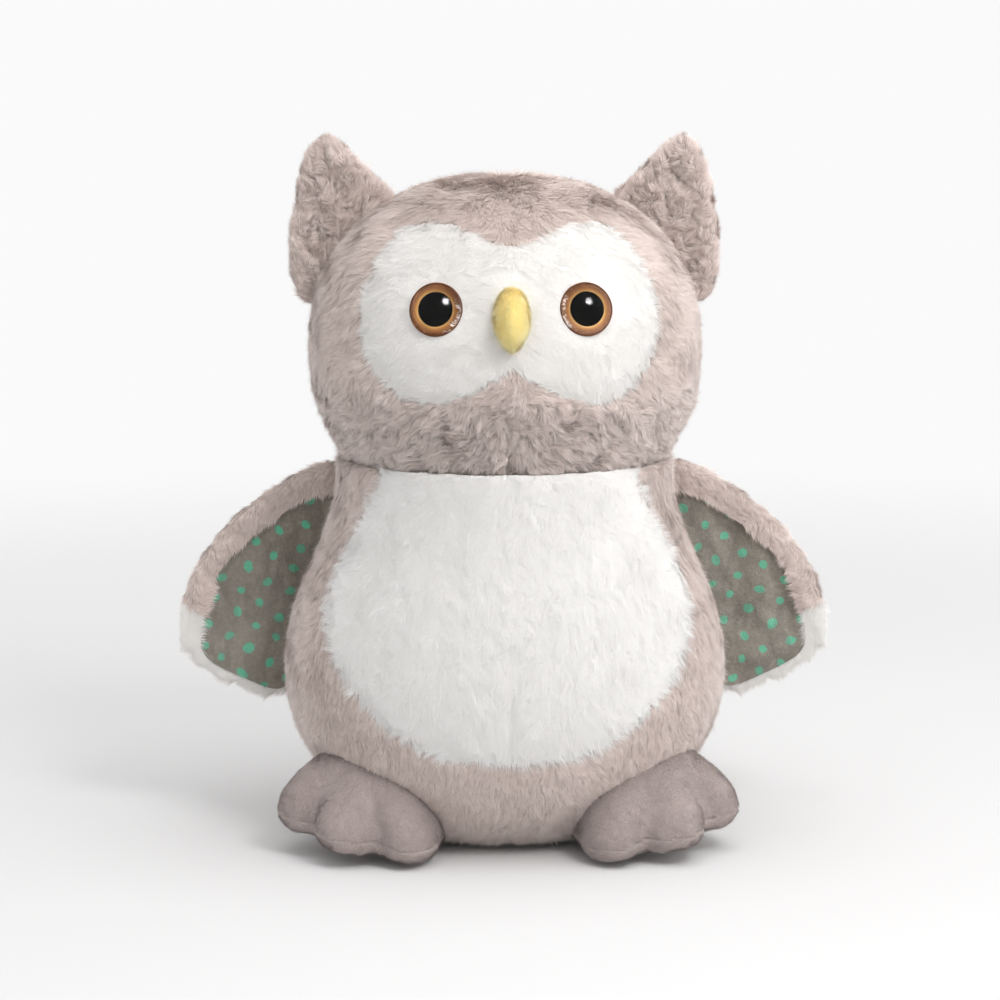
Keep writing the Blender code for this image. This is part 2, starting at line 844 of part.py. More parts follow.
def make_wing(word, side, body_form):
    loop = wing_loop(wing_outline_shares)
    core_loop = grown_loop(loop, -plush_thickness)
    fill_loop = grown_loop(loop, -plush_thickness - seam_gap)
    back_core = wing_half_thickness - plush_thickness
    front_core = wing_half_thickness - lining_thickness

    def place(out, down, depth):
        return wing_point(side, out, down, depth)

    def leaning(out, down, depth):
        back = wing_root_y - wing_lean * out / wing_reach + depth
        return Vector((side * (shoulder_x + out), back, shoulder_z - down))

    def padding(front, back):
        def surface(point, share, facing):
            return -front * facing if facing > 0 else -back * facing
        return surface

    whole = padding(wing_half_thickness, wing_half_thickness)
    inside = padding(front_core, back_core)
    filling = padding(front_core - seam_gap, back_core - seam_gap)
    form = pillow("wing_form_" + word, loop, wing_rings, whole, place)
    core = pillow("wing_core_" + word, core_loop, wing_rings, inside, place)
    fill = pillow("wing_fill_" + word, fill_loop, wing_rings, filling, place)

    lining_loop = wing_loop(wing_lining_shares)
    far = -cutter_overrun
    behind = wing_cup / 3
    patch = prism("lining_cutter_" + word, lining_loop, leaning, far, behind)
    hole = prism(
        "lining_hole_" + word, grown_loop(lining_loop, seam_gap), leaning, far, behind + seam_gap)
    (outer_u, outer_v), (inner_u, inner_v) = wing_tip_line_shares
    slope = (inner_v - outer_v) / (inner_u - outer_u)

    def tip_region(name, gap):
        edge = [(u, outer_v + slope * (u - outer_u)) for u in wing_tip_span_shares]
        upper = [(u * wing_reach, v * wing_drop + gap) for u, v in edge]
        lower = [(out, 2 * wing_drop - wing_drop * wing_tip_span_shares[0]) for out, _ in reversed(upper)]
        return prism(name, upper + lower, leaning, far, -far)

    tip_keep = tip_region("tip_region_" + word, seam_gap)
    tip_drop = tip_region("tip_hole_" + word, 0)

    pivot, axis = wing_hinge(side)
    seat = offset_form(body_form, "wing_seat_" + word, -seam_gap)
    forward_seat = moved_copy(
        seat, "wing_seat_forward_" + word, turn_about(pivot, axis, -wing_forward_angle))
    backward_seat = moved_copy(
        seat, "wing_seat_backward_" + word, turn_about(pivot, axis, wing_backward_angle))
    neck_ball = offset_form(bpy.data.objects["neck_socket"], "wing_neck_ball_" + word, -neck_clearance)
    body_room = room("wing_body_room_" + word, seat, forward_seat, backward_seat, neck_ball)
    joint = joints["wing_" + word]

    outer = piece("wing_outer_" + word, form, grey_plush, joint)
    remove(outer, core, hole, tip_drop)
    clear_room(outer, body_room)
    tip = piece("wing_tip_" + word, form, white_plush, joint)
    remove(tip, core, hole)
    keep(tip, tip_keep)
    clear_room(tip, body_room)
    lining = piece("wing_lining_" + word, form, dotted_lining, joint)
    remove(lining, core)
    keep(lining, patch)
    clear_room(lining, body_room)
    clear_room(piece("wing_batting_" + word, fill, fibre, joint), body_room)


# Feet

def foot_frame(side):
    forward = Vector((side * math.sin(foot_splay), -math.cos(foot_splay), 0))
    outward = Vector((side * math.cos(foot_splay), math.sin(foot_splay), 0))
    heel = Vector((side * foot_heel_x, foot_heel_y, 0))
    return heel, forward, outward


def foot_hinge(side):
    heel, forward, outward = foot_frame(side)
    pivot = heel + forward * foot_hinge_reach + Vector((0, 0, foot_hinge_z))
    return pivot, outward * -side


def make_foot(word, side, body_form):
    heel, forward, outward = foot_frame(side)
    loop = smooth_loop([
        Vector((foot_half_width * u, foot_length * v)) for u, v in foot_outline_shares], foot_segments)

    def padding(skin):
        def surface(point, share, facing):
            if facing < 0:
                return max(skin, foot_rim_height + facing * 2 * (foot_rim_height - skin))
            forward_share = max(0, min(1, point.y / foot_length))
            top = foot_heel_height + (foot_toe_height - foot_heel_height) * forward_share - skin
            return foot_rim_height + (top - foot_rim_height) * facing
        return surface

    def place(u, v, height):
        rise = foot_outer_rise * (u / foot_half_width + 1) / 2
        return heel + outward * u + forward * v + Vector((0, 0, height + rise))

    def tilted(region):
        for vertex in region.data.vertices:
            across = (vertex.co - heel).dot(outward) / foot_half_width
            vertex.co.z += foot_outer_rise * (across + 1) / 2
        return region

    form = pillow("foot_form_" + word, loop, foot_rings, padding(0), place)
    skin = foot_velour_thickness
    core = pillow("foot_core_" + word, grown_loop(loop, -skin), foot_rings, padding(skin), place)
    skin += seam_gap
    fill = pillow("foot_fill_" + word, grown_loop(loop, -skin), foot_rings, padding(skin), place)
    reach = foot_length + cutter_overrun
    rim_low = foot_rim_height - seam_gap / 2
    rim_high = foot_rim_height + seam_gap / 2
    left_x, right_x = heel.x - reach, heel.x + reach
    front_y, back_y = heel.y - reach, heel.y + reach
    upper_region = tilted(block(
        "foot_upper_region_" + word, (left_x, front_y, rim_high), (right_x, back_y, reach)))
    sole_region = tilted(block(
        "foot_sole_region_" + word, (left_x, front_y, -reach), (right_x, back_y, rim_low)))
    seat = offset_form(body_form, "foot_seat_" + word, -seam_gap)
    joint = joints["foot_" + word]
    upper = piece("foot_upper_" + word, form, grey_velour, joint)
    remove(upper, core)
    keep(upper, upper_region)
    remove(upper, seat)
    sole = piece("foot_sole_" + word, form, grey_velour, joint)
    remove(sole, core)
    keep(sole, sole_region)
    remove(sole, seat)
    remove(piece("foot_stuffing_" + word, fill, fibre, joint), seat)


sides = (("left", 1), ("right", -1))

clear_scene()
parts = new_group("plush_owl")
cutters = new_group("cutters")
joints = {}
joints["neck"] = joint_empty("neck_turn_axis", head_centre)
joints["head"] = joint_empty("head_nod_axis", head_centre, joints["neck"])
for word, side in sides:
    joints["ear_" + word] = joint_empty("ear_fold_axis_" + word, ear_hinge(side)[0], joints["head"])
    joints["wing_" + word] = joint_empty("wing_flap_axis_" + word, wing_hinge(side)[0])
    joints["foot_" + word] = joint_empty("foot_lift_axis_" + word, foot_hinge(side)[0])

body = make_body()
head = make_head()
make_beak(head)
for word, side in sides:
    make_ear(word, side, head)
    make_wing(word, side, body)
    make_foot(word, side, body)
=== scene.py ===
"""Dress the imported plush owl: sewn plush over stuffing, domed eyes, velour beak and feet.

Everything is in metres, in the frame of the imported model. The owl faces -Y and its own
left side is at +X.
"""

import sys
import itertools
import logging
import math
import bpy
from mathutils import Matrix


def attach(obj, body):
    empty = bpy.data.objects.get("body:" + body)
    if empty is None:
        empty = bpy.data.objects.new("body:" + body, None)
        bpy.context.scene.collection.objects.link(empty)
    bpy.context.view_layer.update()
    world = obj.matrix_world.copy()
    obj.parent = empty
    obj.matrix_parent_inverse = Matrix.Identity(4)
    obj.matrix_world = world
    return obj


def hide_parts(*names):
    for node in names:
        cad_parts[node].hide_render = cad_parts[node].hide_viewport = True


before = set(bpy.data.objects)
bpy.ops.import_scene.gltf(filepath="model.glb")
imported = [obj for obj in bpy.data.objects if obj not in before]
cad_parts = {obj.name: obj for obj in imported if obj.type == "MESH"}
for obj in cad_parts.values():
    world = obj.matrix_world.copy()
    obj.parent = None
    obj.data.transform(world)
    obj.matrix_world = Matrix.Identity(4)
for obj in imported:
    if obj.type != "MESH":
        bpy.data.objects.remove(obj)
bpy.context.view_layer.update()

import zlib
from collections.abc import Callable, Iterator, Sequence
from dataclasses import dataclass
from enum import Enum

import bpy
import numpy as np
from mathutils import Matrix, Vector

Array = np.ndarray
Mask = Callable[[Array], Array]
Colour = tuple[float, float, float]
Shares = tuple[tuple[float, float], ...]
Object = bpy.types.Object

GROUND = 0.0004  # the lowest that a fibre reaches
WHITE = (0.955, 0.955, 0.955)  # the photograph's background
FRAY = 0.0016  # how ragged the grey pile is round a white patch
FILLING_GAP = 0.0018  # between a skin and the loose fibre under it
FILLING_FACE = 0.004

log = logging.getLogger("plush_owl")


class Side(Enum):
    """The owl's own sides, as the sign of X."""

    LEFT = 1
    RIGHT = -1

    @property
    def word(self) -> str:
        """The side's name as the nodes spell it."""
        return self.name.lower()


# Arrays, loops and soft noise


def joined(*axes: Array | float) -> Array:
    """Columns side by side; a plain number fills a whole column."""
    return np.stack(np.broadcast_arrays(*axes), axis=1)


def lengths(vectors: Array) -> Array:
    """The length of each vector, as a column."""
    return np.linalg.norm(vectors, axis=1, keepdims=True)


def unit(vectors: Array) -> Array:
    """The same vectors at length 1."""
    return vectors / np.maximum(lengths(vectors), 1e-12)


def flattened(vectors: Array, normals: Array) -> Array:
    """The share of each vector that lies in the skin."""
    return vectors - normals * (vectors * normals).sum(axis=1, keepdims=True)


def turned(first: Array, second: Array, angle: Array) -> Array:
    """Directions between a first and a second one, by an angle from the first."""
    return first * np.cos(angle)[:, None] + second * np.sin(angle)[:, None]


def step_up(low: float, high: float, values: Array) -> Array:
    """A smooth step from 0 at low to 1 at high."""
    share = np.clip((values - low) / (high - low), 0, 1)
    return share * share * (3 - 2 * share)


def bell(values: Array, width: float) -> Array:
    """A soft peak of 1 at 0 that dies away over a width."""
    return np.exp(-((values / width) ** 2))


def hashed(cells: Array, seed: int) -> Array:
    """One fixed random value from -1 to 1 for each row of three whole numbers."""
    mixed = (cells * np.array([73856093, 19349663, 83492791])).sum(axis=1) + seed * 7919
    mixed = (mixed ^ (mixed >> 13)) * 1274126177
    mixed = mixed ^ (mixed >> 16)
    return (mixed & 0xFFFF) / 32767.5 - 1


def soft_noise(points: Array, cell: float, seed: int) -> Array:
    """Smooth noise from -1 to 1.

    Args:
        points: Places in metres.
        cell: The size of one bump, in metres.
        seed: A number that picks the pattern.

    Returns:
        One value for each place.
    """
    scaled = points / cell
    low = np.floor(scaled).astype(np.int64)
    part = scaled - low
    part = part * part * (3 - 2 * part)
    total = np.zeros(len(points))
    for corner in itertools.product((0, 1), repeat=3):
        shift = np.array(corner)
        weight = np.prod(np.where(shift == 1, part, 1 - part), axis=1)
        total += weight * hashed(low + shift, seed)
    return total


def noise_vectors(points: Array, cell: float, seed: int, axes: int = 3) -> Array:
    """Independent soft noises as a vector for each place."""
    return joined(*(soft_noise(points, cell, seed + turn) for turn in range(axes)))


def spline_rows(rows: Array, places: Array, closed: bool) -> Array:
    """Points on a smooth curve through the rows of a table.

    Args:
        rows: The table, one point in each row.
        places: Where to read the curve, counted in rows.
        closed: Whether the curve runs on from the last row to the first.

    Returns:
        One row for each place.
    """
    count = len(rows)
    first = np.floor(places).astype(int)
    if not closed:
        first = np.clip(first, 0, count - 2)
    part = (places - first)[:, None]
    near = []
    for shift in (-1, 0, 1, 2):
        index = first + shift
        near.append(rows[index % count if closed else np.clip(index, 0, count - 1)])
    before, start, end, after = near
    bend = 2 * before - 5 * start + 4 * end - after
    swing = 3 * (start - end) + after - before
    return (2 * start + (end - before) * part + bend * part**2 + swing * part**3) / 2


def smooth_loop(points: Sequence[tuple[float, float]], count: int) -> Array:
    """Evenly stepped points on a closed smooth curve through every given point."""
    table = np.array(points, dtype=float)
    return spline_rows(table, np.arange(count) * len(table) / count, closed=True)


def scaled_loop(loop: Array, share: float) -> Array:
    """A closed loop drawn in towards its middle."""
    middle = loop.mean(axis=0)
    return middle + (loop - middle) * share


def patch_loop(half: Shares, half_width: float, low: float, high: float) -> Array:
    """A patch's whole front outline from its half, which runs from the top middle down.

    Args:
        half: Shares of the half width and of the height.
        half_width: Half the outline's width.
        low: The height of its lowest point.
        high: The height of its highest point.

    Returns:
        A smooth loop of X and Z.
    """
    right = [(x * half_width, low + (high - low) * z) for x, z in half]
    return smooth_loop(right + [(-x, z) for x, z in reversed(right) if x > 0], 160)


def inside_loop(flat: Array, loop: Array) -> Array:
    """Which flat points lie inside a closed loop."""
    inside = np.zeros(len(flat), dtype=bool)
    for (ax, az), (bx, bz) in zip(loop, np.roll(loop, -1, axis=0)):
        crosses = (az > flat[:, 1]) != (bz > flat[:, 1])
        reach = ax + (flat[:, 1] - az) * (bx - ax) / (bz - az if bz != az else 1e-12)
        inside ^= crosses & (flat[:, 0] < reach)
    return inside


def loop_distance(flat: Array, loop: Array) -> Array:
    """How far each flat point is from the nearest point of a closed loop."""
    best = np.full(len(flat), np.inf)
    for point in loop:
        best = np.minimum(best, np.hypot(flat[:, 0] - point[0], flat[:, 1] - point[1]))
    return best


def in_patch(places: Array, loop: Array, fray: float, seed: int) -> Array:
    """Which places lie on a patch of the front.

    Args:
        places: The places.
        loop: The patch's outline, as X and Z.
        fray: How far its edge is frayed, in metres.
        seed: Picks how it is frayed.

    Returns:
        One truth value for each place.
    """
    flat = places[:, [0, 2]]
    if fray:
        flat = flat + fray * noise_vectors(places, 0.004, seed, axes=2)
    return inside_loop(flat, loop) & (places[:, 1] < 0)


def edge_mask(loop: Array, reach: float, more: float) -> Mask:
    """Gives 1 well inside a front outline and more near its edge.

    Args:
        loop: The outline, as X and Z.
        reach: How far in from the edge it acts.
        more: How much is added at the edge.

    Returns:
        A function of places.
    """
    return lambda places: 1 + more * bell(loop_distance(places[:, [0, 2]], loop), reach)


def quarters(middles: Array, seam_y: float) -> Iterator[tuple[str, Array]]:
    """The four quarters of a round form, each with the end of its panel's name."""
    for side in Side:
        for region, behind in (("front", False), ("back", True)):
            wanted = (middles[:, 0] * side.value > 0) & ((middles[:, 1] > seam_y) == behind)
            yield f"{region}_{side.word}", wanted


def above_ground(places: Array) -> Array:
    """The places, none of them below the ground."""
    places[:, 2] = np.maximum(places[:, 2], GROUND)
    return places


# Meshes


def make_active(thing: Object | None) -> None:
    """Select one object alone, or none, for the operators."""
    for other in bpy.context.selected_objects:
        other.select_set(False)
    if thing:
        thing.select_set(True)
    bpy.context.view_layer.objects.active = thing


def new_object(name: str, data: bpy.types.ID) -> Object:
    """A new object in the scene."""
    thing = bpy.data.objects.new(name, data)
    bpy.context.scene.collection.objects.link(thing)
    return thing


def apply_modifier(thing: Object, kind: str, **settings: object) -> None:
    """Apply one modifier with its settings."""
    step = thing.modifiers.new(kind, kind)
    for key, value in settings.items():
        setattr(step, key, value)
    make_active(thing)
    bpy.ops.object.modifier_apply(modifier=step.name)


def even_faces(form: Object, size: float) -> None:
    """Remake a closed form with even faces."""
    apply_modifier(form, "REMESH", mode="VOXEL", voxel_size=size)


def split_faces(form: Object) -> None:
    """Split every face of a form in four, smoothly."""
    apply_modifier(form, "SUBSURF", levels=1, render_levels=1)


def shrink(form: Object, distance: float) -> None:
    """Move a closed form's points inwards along their normals."""
    apply_modifier(form, "DISPLACE", strength=-distance, mid_level=0)


def edit_all(thing: Object, step: Callable[[], object]) -> None:
    """Run a step in edit mode with all points selected, and end with outward faces."""
    make_active(thing)
    bpy.ops.object.mode_set(mode="EDIT")
    bpy.ops.mesh.select_all(action="SELECT")
    step()
    bpy.ops.mesh.normals_make_consistent(inside=False)
    bpy.ops.object.mode_set(mode="OBJECT")


def vertex_array(mesh: bpy.types.Mesh, what: str = "co") -> Array:
    """The places or normals of a mesh's points as rows."""
    values = np.empty(len(mesh.vertices) * 3)
    mesh.vertices.foreach_get(what, values)
    return values.reshape(-1, 3)


def set_places(form: Object, places: Array) -> None:
    """Move a form's points to new places."""
    form.data.vertices.foreach_set("co", np.ascontiguousarray(places, dtype=float).ravel())
    form.data.update()


def face_middles(form: Object) -> Array:
    """The middle of each face of a form."""
    values = np.empty(len(form.data.polygons) * 3)
    form.data.polygons.foreach_get("center", values)
    return values.reshape(-1, 3)


def add_ball(name: str, segments: int, rings: int) -> Object:
    """A unit ball, the start of every stuffed form."""
    make_active(None)
    bpy.ops.mesh.primitive_uv_sphere_add(segments=segments, ring_count=rings, radius=1)
    ball = bpy.context.active_object
    ball.name = ball.data.name = name
    return ball


def ball_angles(ball: Object) -> tuple[Array, Array]:
    """The polar angle, from the bottom up, and the azimuth of a unit ball's points."""
    x, y, z = vertex_array(ball.data).T
    return np.arccos(np.clip(-z, -1, 1)), np.arctan2(y, x)


def keep_faces(source: Object, name: str, wanted: Array) -> Object:
    """A copy of an object that has only the wanted faces.

    Args:
        source: The object to copy.
        name: The copy's name.
        wanted: One truth value for each face.

    Returns:
        The copy, with its own mesh.
    """
    copy = new_object(name, source.data.copy())
    copy.data.name = name
    make_active(copy)
    bpy.ops.object.mode_set(mode="EDIT")
    bpy.ops.mesh.select_mode(type="FACE")
    bpy.ops.mesh.select_all(action="DESELECT")
    bpy.ops.object.mode_set(mode="OBJECT")
    copy.data.polygons.foreach_set("select", ~wanted)
    bpy.ops.object.mode_set(mode="EDIT")
    bpy.ops.mesh.delete(type="FACE")
    bpy.ops.object.mode_set(mode="OBJECT")
    return copy


def smooth_shaded(thing: Object) -> Object:
    """Shade all of an object's faces smooth."""
    thing.data.polygons.foreach_set("use_smooth", np.ones(len(thing.data.polygons), dtype=bool))
    thing.data.update()
    return thing


def add_values(mesh: bpy.types.Mesh, name: str, values: Array) -> None:
    """Give a mesh one number at each point."""
    layer = mesh.attributes.new(name, "FLOAT", "POINT")
    layer.data.foreach_set("value", values.ravel())


def remove_object(thing: Object) -> None:
    """Delete an object and its mesh."""
    mesh = thing.data
    bpy.data.objects.remove(thing, do_unlink=True)
    bpy.data.meshes.remove(mesh)


# Shader maths


def operator(kind: str, swapped: bool = False) -> Callable[..., "Socket"]:
    """A method of Socket that adds a Math node of one kind.

    Args:
        kind: The node's operation.
        swapped: Whether the socket itself comes last.

    Returns:
        The method.
    """

    def method(*values: "Socket | float") -> "Socket":
        """Add the node."""
        inputs = dict(enumerate(reversed(values) if swapped else values))
        return values[0].nodes.add("ShaderNodeMath", inputs, operation=kind)

    return method


class Socket:
    """A shader value that can be added, multiplied and compared like a number."""

    def __init__(self, nodes: "Nodes", link: bpy.types.NodeSocket) -> None:
        """Wrap one output of a node tree."""
        self.nodes = nodes
        self.link = link

    __add__ = __radd__ = operator("ADD")
    __sub__ = operator("SUBTRACT")
    __rsub__ = operator("SUBTRACT", swapped=True)
    __mul__ = __rmul__ = operator("MULTIPLY")
    __truediv__ = operator("DIVIDE")
    __pow__ = operator("POWER")
    floor = operator("FLOOR")
    fraction = operator("FRACT")
    remainder = operator("FLOORED_MODULO")
    larger = operator("MAXIMUM")

    def between(self, low: float, high: float) -> "Socket":
        """A smooth step that is 0 at low and 1 at high."""
        inputs = {"Value": self, "From Min": low, "From Max": high}
        return self.nodes.add("ShaderNodeMapRange", inputs, interpolation_type="SMOOTHSTEP")


class Nodes:
    """Builds a node tree from expressions on sockets."""

    def __init__(self, tree: bpy.types.NodeTree) -> None:
        """Take the tree to build in."""
        self.tree = tree

    def add(
        self, kind: str, inputs: dict | None = None, output: str | int = 0, **settings: object
    ) -> Socket:
        """Add a node.

        Args:
            kind: The node's type.
            inputs: Values or sockets for its inputs, by name or number.
            output: Which of its outputs to give back.
            **settings: The node's settings, set before its inputs.

        Returns:
            The output, as a socket.
        """
        made = self.tree.nodes.new(kind)
        for key, value in settings.items():
            setattr(made, key, value)
        for key, value in (inputs or {}).items():
            self.put(made.inputs[key], value)
        return Socket(self, made.outputs[output])

    def put(self, target: bpy.types.NodeSocket, value: "Socket | Colour | float") -> None:
        """Link an input to a socket, or give it a plain value."""
        if isinstance(value, Socket):
            self.tree.links.new(value.link, target)
        else:
            target.default_value = (*value, 1.0) if target.type == "RGBA" else value

    def seen(self) -> Socket:
        """1 for rays from the camera, off a shiny surface or through the domes, else 0."""
        camera, glossy, clear = (
            self.add("ShaderNodeLightPath", output=f"Is {kind} Ray")
            for kind in ("Camera", "Glossy", "Transmission")
        )
        return camera.larger(glossy).larger(clear)


class Paint(Nodes):
    """Builds one material round its shader."""

    def __init__(self, name: str) -> None:
        """Start a material with its own shader node."""
        self.material = bpy.data.materials.new(name)
        self.material.use_nodes = True
        super().__init__(self.material.node_tree)
        self.shader = self.tree.nodes["Principled BSDF"]

    def attribute(self, name: str) -> Socket:
        """A number that the mesh carries at its points."""
        return self.add(
            "ShaderNodeAttribute", output="Fac", attribute_name=name, attribute_type="GEOMETRY"
        )

    def place(self) -> Socket:
        """The point's place on the object, in metres."""
        return self.add("ShaderNodeTexCoord", output="Object")

    def scaled(self, vector: Socket, scale: tuple[float, float, float]) -> Socket:
        """A place stretched along the axes."""
        return self.add("ShaderNodeMapping", {"Vector": vector, "Scale": scale})

    def noise(self, vector: Socket, size: float, detail: float = 3.0) -> Socket:
        """Noise from 0 to 1 whose bumps are about size metres wide."""
        inputs = {"Vector": vector, "Scale": 1.0 / size, "Detail": detail}
        return self.add("ShaderNodeTexNoise", inputs)

    def drift(self, vector: Socket, size: float, reach: float, detail: float = 0.0) -> Socket:
        """Noise as metres to and fro, over a whole reach."""
        return (self.noise(vector, size, detail) - 0.5) * reach

    def blend(
        self, share: Socket | float, first: Socket | Colour, second: Socket | Colour
    ) -> Socket:
        """A colour between two colours or colour sockets."""
        return self.add("ShaderNodeMix", {0: share, 6: first, 7: second}, 2, data_type="RGBA")

    def ramp(self, share: Socket, stops: Sequence[tuple[float, Colour]]) -> Socket:
        """A colour read off a row of stops."""
        read = self.add("ShaderNodeValToRGB", {0: share})
        elements = read.link.node.color_ramp.elements
        while len(elements) < len(stops):
            elements.new(1.0)
        for element, (place, colour) in zip(elements, stops):
            element.position = place
            element.color = (*colour, 1.0)
        return read

    def bump(self, height: Socket, distance: float) -> Socket:
        """Normals of a surface raised by a height in shares of a distance in metres."""
        return self.add("ShaderNodeBump", {"Height": height, "Distance": distance}, "Normal")

    def finish(self, **values: "Socket | Colour | float") -> bpy.types.Material:
        """Set the shader's inputs, by their names with underscores for spaces."""
        for key, value in values.items():
            name = key.replace("_", " ").title().replace("Ior", "IOR")
            self.put(self.shader.inputs[name], value)
        return self.material


# Finishes


@dataclass(frozen=True)
class Finish:
    """What every finish has: a name, and a way to make its material once."""

    name: str

    def material(self) -> bpy.types.Material:
        """The finish's material, made when it is first asked for."""
        return bpy.data.materials.get(self.name) or self.build(Paint(self.name))

    def build(self, paint: Paint) -> bpy.types.Material:
        """Fill in the material."""
        raise NotImplementedError

    def dress(self, thing: Object) -> Object:
        """Give an object this finish alone."""
        thing.data.materials.clear()
        thing.data.materials.append(self.material())
        return thing


@dataclass(frozen=True)
class FibreCoat(Finish):
    """The fibres of a pile: painted shade at the root, paler at the tip, each its own tint."""

    # root is painted shade: the colour where the fibres crowd together at their roots
    root: Colour
    dark: Colour
    light: Colour
    sheen: float = 0.4

    def build(self, paint: Paint) -> bpy.types.Material:
        """Mix the fibre's tint with the painted shade at its root."""
        tone = paint.blend(paint.attribute("tint"), self.dark, self.light)
        reach = paint.attribute("reach").between(0.0, 0.4)
        return paint.finish(
            base_color=paint.blend(reach, self.root, tone), roughness=0.9,
            sheen_weight=self.sheen, sheen_roughness=0.5, specular_ior_level=0.0,
        )


@dataclass(frozen=True)
class Backing(Finish):
    """The knitted ground that a pile grows from."""

    colour: Colour
    deep: Colour

    def build(self, paint: Paint) -> bpy.types.Material:
        """Mottle the ground and give it a knit."""
        place = paint.place()
        mottle = paint.noise(place, 0.004).between(0.3, 0.7)
        return paint.finish(
            base_color=paint.blend(mottle, self.deep, self.colour), roughness=1.0,
            sheen_weight=0.2, specular_ior_level=0.0,
            normal=paint.bump(paint.noise(place, 0.0012, 4.0), 0.0008),
        )


@dataclass(frozen=True)
class DottedCloth(Finish):
    """Thin wing lining: taupe cloth with a print of round dots in staggered rows."""

    ground: Colour
    shade: Colour
    dot: Colour
    pitch: float = 0.0118
    row_height: float = 0.0085
    dot_radius: float = 0.0019
    lean: float = 0.35

    def dots(self, paint: Paint, place: Socket) -> Socket:
        """1 on the dots, in rows that lean and wander a little, and 0 between them."""
        x = paint.add("ShaderNodeSeparateXYZ", {0: place}, "X")
        z = paint.add("ShaderNodeSeparateXYZ", {0: place}, "Z")
        ragged = paint.drift(place, 0.0014, 0.0008, 1.0)
        wander = paint.drift(place, 0.018, 0.006) + ragged
        drift = paint.drift(paint.scaled(place, (-1.0, 1.0, 1.3)), 0.018, 0.006)
        along = x * math.cos(self.lean) + z * math.sin(self.lean) + wander
        across = z * math.cos(self.lean) - x * math.sin(self.lean) + drift
        row = across / self.row_height
        column = (along / self.pitch + row.floor().remainder(2.0) * 0.5).fraction() - 0.5
        height = row.fraction() - 0.5
        square = (column * self.pitch) ** 2.0 + (height * self.row_height) ** 2.0
        return 1.0 - (square**0.5).between(self.dot_radius * 0.85, self.dot_radius * 1.1)

    def build(self, paint: Paint) -> bpy.types.Material:
        """Print the dots, then weave and crease the cloth, with painted shade along its folds."""
        place = paint.place()
        threads = paint.noise(place, 0.0016, 3.0)
        cloth = paint.blend(threads.between(0.35, 0.7), self.shade, self.ground)
        worn = self.dots(paint, place) * (0.75 + 0.25 * threads.between(0.2, 0.5))
        creases = paint.noise(paint.scaled(place, (1.0, 1.0, 0.55)), 0.012, 2.0)
        # Painted shade: folded is 1 along the creases' folds, where the cloth is darkened towards
        # dark.
        folded = 1.0 - ((creases - 0.5) ** 2.0).between(0.0, 0.0060)
        dark = tuple(0.45 * part for part in self.shade)
        weave = paint.noise(paint.scaled(place, (3.0, 1.0, 1.0)), 0.0009, 2.0)
        return paint.finish(
            base_color=paint.blend(folded * 0.28, paint.blend(worn, cloth, self.dot), dark),
            roughness=0.85, sheen_weight=0.3, sheen_roughness=0.4, specular_ior_level=0.25,
            normal=paint.bump(creases * 0.85 + weave * 0.15, 0.004),
        )


@dataclass(frozen=True)
class IrisPaint(Finish):
    """Painted iris: a bright gold inner ring, an amber band and a ragged brown rim, with painted
    light towards its lower outer side and painted shade towards its upper inner side.
    """

    stops: tuple[tuple[float, Colour], ...]
    dull: Colour = (0.060, 0.020, 0.007)

    def build(self, paint: Paint) -> bpy.types.Material:
        """Read the rings off the distance from the eye's middle, dulled by painted shade away from
        the painted light.
        """
        ring = paint.attribute("ring")
        ring = ring + paint.drift(paint.place(), 0.0011, 0.22, 2.0) * ring.between(0.72, 0.9)
        bright = paint.ramp(ring, self.stops)
        # Painted shade dulls the rings towards dull; the lower attribute keeps them bright as
        # painted light.
        shaded = paint.blend(0.7, bright, self.dull)
        return paint.finish(
            base_color=paint.blend(paint.attribute("lower"), shaded, bright),
            roughness=0.4, specular_ior_level=0.1,
        )


@dataclass(frozen=True)
class HardFinish(Finish):
    """Moulded plastic, or clear plastic, which has no handling marks."""

    colour: Colour
    rough: float
    clear: float = 0.0
    shine: float = 0.5
    ior: float = 1.45

    def build(self, paint: Paint) -> bpy.types.Material:
        """Give the plastic faint handling marks."""
        marks = 0.0 if self.clear else 0.05 * paint.noise(paint.place(), 0.003)
        return paint.finish(
            base_color=self.colour, roughness=self.rough + marks, ior=self.ior,
            transmission_weight=self.clear, specular_ior_level=self.shine,
        )


@dataclass(frozen=True)
class Filling(Finish):
    """Loose fibre or bag cloth that is hidden inside."""

    colour: Colour
    grain: float

    def build(self, paint: Paint) -> bpy.types.Material:
        """Tuft the filling."""
        tufts = paint.noise(paint.place(), self.grain)
        deep = tuple(0.8 * part for part in self.colour)
        return paint.finish(
            base_color=paint.blend(tufts, deep, self.colour), roughness=1.0,
            normal=paint.bump(tufts, self.grain * 0.5),
        )


# Each coat gives its root colour, which paints shade at the roots where it is darker than the tints,
# then its dark and light tints.
GREY_FIBRE = FibreCoat(
    "grey_plush_fibre", (0.58, 0.49, 0.45), (0.63, 0.525, 0.475), (0.95, 0.835, 0.785)
)
WHITE_FIBRE = FibreCoat(
    "white_plush_fibre", (0.90, 0.88, 0.85), (0.90, 0.88, 0.85), (0.99, 0.98, 0.965)
)
